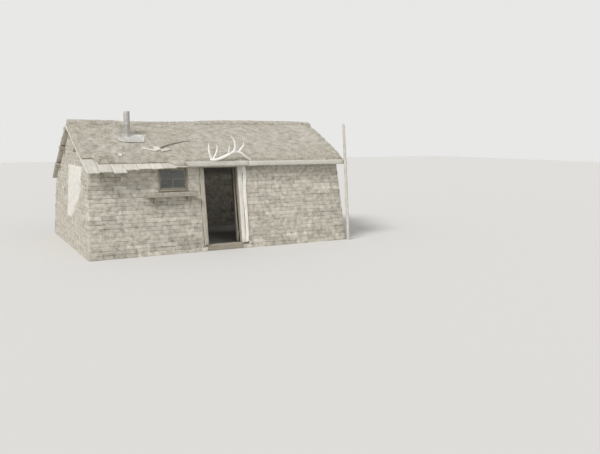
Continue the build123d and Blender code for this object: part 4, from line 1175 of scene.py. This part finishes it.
# Stovepipe: rolled sheet with two beads, a lap seam, dents and a torn slanted top. A bead is (bulge, height)
BEAD = ((0.0, -0.008), (0.0026, -0.0035), (0.0026, 0.0035), (0.0, 0.008))
profile = [(0.0, PIPE_FOOT)]
for level in (PIPE_TOP - 0.330, PIPE_TOP - 0.045):
    profile += [(0.0, z) for z in np.linspace(profile[-1][1] + 0.03, level - 0.012, 8)]
    profile += [(bulge, level + dz) for bulge, dz in BEAD]
profile += [(0.0, PIPE_TOP - below) for below in (0.025, 0.012, 0.0)]
outline = [(PIPE_R + bulge, z) for bulge, z in profile]
outline += [(PIPE_R - PIPE_SHEET + bulge, z) for bulge, z in reversed(profile)]


def pipe_shape(radius, z, angle):
    """Dents, the lap seam and the torn rim."""
    spot = np.array([[math.cos(angle) * PIPE_R, math.sin(angle) * PIPE_R, z]])
    dent = 0.006 * max(0.0, float(value_noise(spot, 0.11, 31)[0]) - 0.15)
    seam = 0.0012 if abs((angle + 2.3) % (2 * math.pi) - math.pi) < 0.09 else 0.0
    top = max(0.0, 1 - (PIPE_TOP - z) / 0.05)
    torn = 0.5 + 0.5 * float(value_noise(spot * (1, 1, 0), 0.035, 3)[0])
    lean = 0.5 - 0.5 * math.cos(angle)
    return radius - dent + seam - 0.004 * top * torn, z - top * (0.014 * lean + 0.006 * torn)


make_piece("rolled_stovepipe", [lathe(PIPE, outline, 72, pipe_shape)], pipe_iron,
           stands_for=("stovepipe",))

# Flashing: a flattened tin sheet, creased and curling at the corners, with a collar round the pipe. The
# sheet's outline is in pipe radii from the pipe's middle
SHEET = np.array([(-4.0, -2.4), (-3.7, -5.0), (-1.5, -6.1), (4.3, -5.9), (5.5, -1.1), (1.7, 1.4), (-1.6, 1.3),
                  (-1.9, -1.1)]) * PIPE_R
BORE = PIPE_R + 0.0003


def sheet_reach(turns):
    """How far the sheet reaches from the pipe's middle in those directions."""
    x, y = np.cos(turns)[:, None], np.sin(turns)[:, None]
    (ax, ay), (ex, ey) = SHEET.T, (np.roll(SHEET, -1, 0) - SHEET).T
    det = y * ex - x * ey
    far, share = (ay * ex - ax * ey) / det, (x * ay - y * ax) / det
    return np.where((far > 0) & (np.abs(share - 0.5) <= 0.501), far, 0.1).max(1)


turns = {round(float(t), 4) for t in np.arctan2(SHEET[:, 1], SHEET[:, 0])}
turns = np.array(sorted(turns | {round(-math.pi + (k + 0.5) * 2 * math.pi / 110, 4) for k in range(110)}))
near = BORE / np.hypot(np.cos(turns), np.sin(turns) * COS_PITCH)
far = sheet_reach(turns)
shares = np.linspace(0, 1, 15)
edge = np.repeat(np.concatenate([shares, shares[::-1]]), len(turns))
r, t = (near + (far - near) * edge.reshape(-1, len(turns))).ravel(), np.tile(turns, 2 * len(shares))
x, y, off = r * np.cos(t), r * np.sin(t), np.repeat((0.0, -PIPE_SHEET), len(r) // 2)
spot = np.stack([x, y, 0 * x], 1)
crease = 0.006 + 0.006 * rough_noise(spot, 0.16, 3, 12)
crease = crease + 0.004 * np.abs(value_noise(spot * (1, 0.4, 1), 0.07, 5))
curl = 0.014 * np.clip(edge - 0.8, 0, 1) * 5 * (0.4 + 0.6 * value_noise(spot, 0.2, 9))
sheet = on_turf(x, y, off + crease * np.clip(edge * 6, 0.2, 1) + curl)
COLLAR_TOP = turf_plane(PIPE[1]) + 0.060
COLLAR = [(BORE + 0.003, 0.0), (BORE + 0.003, COLLAR_TOP - 0.004), (BORE + 0.0045, COLLAR_TOP),
          (BORE + 0.0005, COLLAR_TOP), (BORE, 0.0)]


def collar_shape(radius, z, angle):
    """The collar's foot, at height 0 in its outline, follows the slope."""
    return radius, z or turf_plane(PIPE[1] + radius * math.sin(angle)) - 0.004


shapes = [(sheet, closed_grid(2 * len(shares), len(turns), inward=True)),
          lathe(PIPE, COLLAR, 64, collar_shape)]
make_piece("creased_flashing", shapes, tin, stands_for=("pipe_flashing",))

# Antlers: tapering tines, burrs and the skull plate, grown into one. A tine is its bends, in mm from the
# seat, and its radius in mm at root and tip
SEAT = np.array([2.930, -0.194, FRONT_TOP + 0.020 + 0.120])
TINES = (
    ([(0, 0, 24), (-48, -14, 130), (-86, -34, 235), (-92, -20, 428)], 27, 10),
    ([(0, 0, 24), (160, -10, 54), (300, -20, 100), (437, -24, 164), (570, -10, 225), (727, 14, 228)], 32, 25),
    ([(690, 6, 228), (800, -2, 180), (900, -2, 98), (1032, 0, 22)], 25, 9),
    ([(30, -6, 48), (75, -40, 160), (114, -60, 280), (112, -66, 345), (78, -62, 398)], 19, 7),
    ([(425, -22, 152), (430, -50, 250), (434, -66, 377)], 18, 7),
    ([(575, -10, 225), (598, -40, 345), (567, -60, 495), (484, -62, 632)], 24, 7),
    ([(720, 10, 220), (768, -24, 305), (822, -46, 380), (824, -50, 464)], 22, 7),
)
THICKER = 1.15
shapes = []
for k, (bends, root, tip) in enumerate(TINES):
    radii = np.array([THICKER * (root + (tip - root) * s ** 1.3) for s in np.linspace(0, 1, 12)])
    radii[-1] *= 0.7
    shapes.append(tube(SEAT + np.array(bends) / 1000, radii / 1000, 14, 60, 0.0015, 0.05, k))
for side, far in ((-0.014, (-0.05, -0.012, 0.085)), (0.020, (0.07, -0.006, 0.038))):
    foot = SEAT + (side, 0, 0.026)
    shapes.append(tube([foot, foot + np.array(far) * 0.28], [0.034, 0.036, 0.033], 14, 8, 0.003, 0.015, 4))
skull_plate = [SEAT + (-0.044, 0, 0.020), SEAT + (0, 0, 0.026), SEAT + (0.046, 0, 0.019)]
shapes.append(tube(skull_plate, [0.014, 0.020, 0.021, 0.015], 16, 20, 0.002, 0.03, 6))
points, faces = joined(shapes)
grown = even_mesh(new_mesh("tines", house(points), faces), 0.0055)
p, n = get_points(grown), get_points(grown, "normal")
pearls = 0.0012 * rough_noise(p, 0.014, 2, 3) + 0.0008 * value_noise(p * (0.3, 1, 0.3), 0.012, 8)
set_points(grown, p + n * pearls[:, None])
finish_piece(link("weathered_antlers", grown), bone, stands_for=("antlers",), sharp=180)

# Daub trowelled on the left gable: a plumb left edge, the right one broken away along EDGE_Z and EDGE_Y
DAUB_FOOT, DAUB_TOP, DAUB_LEFT = 0.74, 2.12, 2.575
EDGE_Z, EDGE_Y = (DAUB_FOOT, 0.93, 1.36, 1.54, 2.02, DAUB_TOP), (2.05, 1.65, 1.00, 0.83, 0.68, 0.66)
ACROSS, UP = 90, 70
u, v = [g.ravel() for g in np.meshgrid(np.linspace(0, 1, ACROSS), np.linspace(0, 1, UP), indexing="ij")]
z = DAUB_FOOT + v * (DAUB_TOP - DAUB_FOOT)
left_edge = DAUB_LEFT + 0.012 * line_noise(z, 0.15, 3)
right_edge = np.interp(z, EDGE_Z, EDGE_Y) + 0.05 * line_noise(z, 0.14, 8) + 0.02 * line_noise(z, 0.04, 9)
y = left_edge + (right_edge - left_edge) * u
z = z + (v > 0.99) * 0.02 * line_noise(y, 0.2, 4) - (v < 0.01) * 0.03 * line_noise(y, 0.15, 6)
spot = np.stack([0 * y, y, z], 1)
worn = np.clip(np.minimum(np.minimum(u, 1 - u) * 18, np.minimum(v, 1 - v) * 14), 0, 1)
skin = 0.013 + 0.003 * rough_noise(spot, 0.25, 3, 2) + 0.0012 * value_noise(spot * (1, 0.35, 1), 0.05, 5)
lift = (skin + 0.012) * worn ** 0.5 - 0.012
skins = [np.stack([-gable_face(z) - off, y, z], 1) for off in (lift, -0.03)]
faces = []
for i, j in itertools.product(range(ACROSS - 1), range(UP - 1)):
    quad = [i * UP + j, (i + 1) * UP + j, (i + 1) * UP + j + 1, i * UP + j + 1]
    faces += [quad, [q + ACROSS * UP for q in (quad[0], *quad[:0:-1])]]
rim = [i * UP for i in range(ACROSS)] + [(ACROSS - 1) * UP + j for j in range(1, UP)]
rim += [i * UP + UP - 1 for i in range(ACROSS - 2, -1, -1)] + list(range(UP - 2, 0, -1))
faces += [[b, a, a + ACROSS * UP, b + ACROSS * UP] for a, b in zip(rim, rim[1:] + rim[:1])]
make_piece("gable_daub", [(np.concatenate(skins), faces)], daub)

# Nails through the casings and the eave plank
NAIL_SIZE, CASING_FACE, PLANK_FACE = (0.009, 0.009, 0.006), 0.022, -0.2095
FIRST_NAIL, NAIL_SPACING, PLANK_JOINT = 2.36, 0.304, 3.91
rows = []
rng = random.Random(9)


def nail(x, y, z, lean):
    """Notes a nail whose head faces forwards and leans back that far."""
    rows.append(((x, y, z), NAIL_SIZE, (math.pi / 2 - lean, 0, 0), 0.5, z))


for height in np.linspace(0.25, 1.98, 7):
    for x in (CASING_LEFT + 0.02, CASING_LEFT + 0.09, CASING_IN + 0.022, CASING_IN + 0.10, CASING_IN + 0.155):
        z = height + rng.uniform(-0.03, 0.03)
        y = front_face(z) - CASING_FACE / math.cos(LEAN_FRONT) - 0.0015
        nail(x + rng.uniform(-0.006, 0.006), y, z, LEAN_FRONT)
for k, low in itertools.product(range(15), (0.03, 0.088)):
    x = FIRST_NAIL + NAIL_SPACING * k
    plank_foot = FRONT_TOP + (0.020 if x < PLANK_JOINT else 0.012)
    nail(x + rng.uniform(-0.01, 0.01), PLANK_FACE, plank_foot + low + rng.uniform(-0.01, 0.01), 0)
block = nail_block()
smooth = {"Lump size": 0.1, "Lump height": 0.0, "Crumb size": 0.1, "Crumb height": 0.0}
run_tree(laying, points_object("nail_points", rows), {"Block": block, "Material": iron, **smooth},
         "casing_nails")
bpy.data.objects.remove(block)

# Floor, light, camera
HALF_FLOOR = 60
corners = np.array([(-1, -1, 0), (1, -1, 0), (1, 1, 0), (-1, 1, 0)]) * HALF_FLOOR
floor = link("floor", new_mesh("floor", corners, [(0, 1, 2, 3)]))
paint(floor, paper)

world = bpy.data.worlds.new("studio")
bpy.context.scene.world = world
world.use_nodes = True
tree = world.node_tree
tree.nodes.clear()
rays = add(tree, "ShaderNodeLightPath").node.outputs
seen = add(tree, MATH, {0: rays["Is Camera Ray"], 1: rays["Is Glossy Ray"]}, operation="MAXIMUM")
seen = add(tree, MATH, {0: seen, 1: rays["Is Transmission Ray"]}, operation="MAXIMUM")
soft = add(tree, "ShaderNodeBackground", {"Color": colour("f6f7fa"), "Strength": 0.60})
backdrop = add(tree, "ShaderNodeBackground", {"Color": colour("e8e8e7"), "Strength": 1.0})
both = add(tree, "ShaderNodeMixShader", {0: seen, 1: soft, 2: backdrop})
add(tree, "ShaderNodeOutputWorld", {0: both})


def sun(name, strength, azimuth, elevation, angle):
    """A soft sun that shines from that side: 0 is in front, 90 from the left."""
    light = bpy.data.lights.new(name, "SUN")
    light.energy, light.angle = strength, math.radians(angle)
    a, e = math.radians(azimuth), math.radians(elevation)
    toward = Vector((-math.sin(a) * math.cos(e), -math.cos(a) * math.cos(e), math.sin(e)))
    link(name, light).rotation_euler = toward.to_track_quat("Z", "Y").to_euler()


sun("key", 2.55, 64.0, 44.0, 20.0)
sun("fill", 0.42, -15.0, 18.0, 60.0)
# A lamp in the room faces the back wall, and stands for the daylight of the long exposure
room = bpy.data.lights.new("room", "AREA")
room.energy, room.size = 3.0, 1.4
room_lamp = link("room", room)
room_lamp.location = house([5.0, 2.5, 1.4])
room_lamp.rotation_euler = (math.pi / 2, 0.0, 0.0)
room_lamp.visible_camera = room_lamp.visible_glossy = room_lamp.visible_transmission = False

# The camera as fitted to the photograph: focal length in picture widths, sensor in mm, angles in degrees
FOCAL, SENSOR, PITCH, HEADING, ROLL = 646.9 / 600, 36, 7.906, -28.79, 0.096
camera = link("camera", bpy.data.cameras.new("camera"))
camera.data.lens = FOCAL * SENSOR
camera.location = CORNER + np.array([-2.867, -15.238, 2.798])
camera.rotation_euler = (Euler((math.radians(90 - PITCH), 0, math.radians(HEADING)), "XYZ").to_matrix()
                         @ Euler((0, 0, math.radians(ROLL))).to_matrix()).to_euler()
camera.data.clip_end = 500.0
bpy.context.scene.camera = camera
bpy.context.scene.view_settings.view_transform = "Standard"
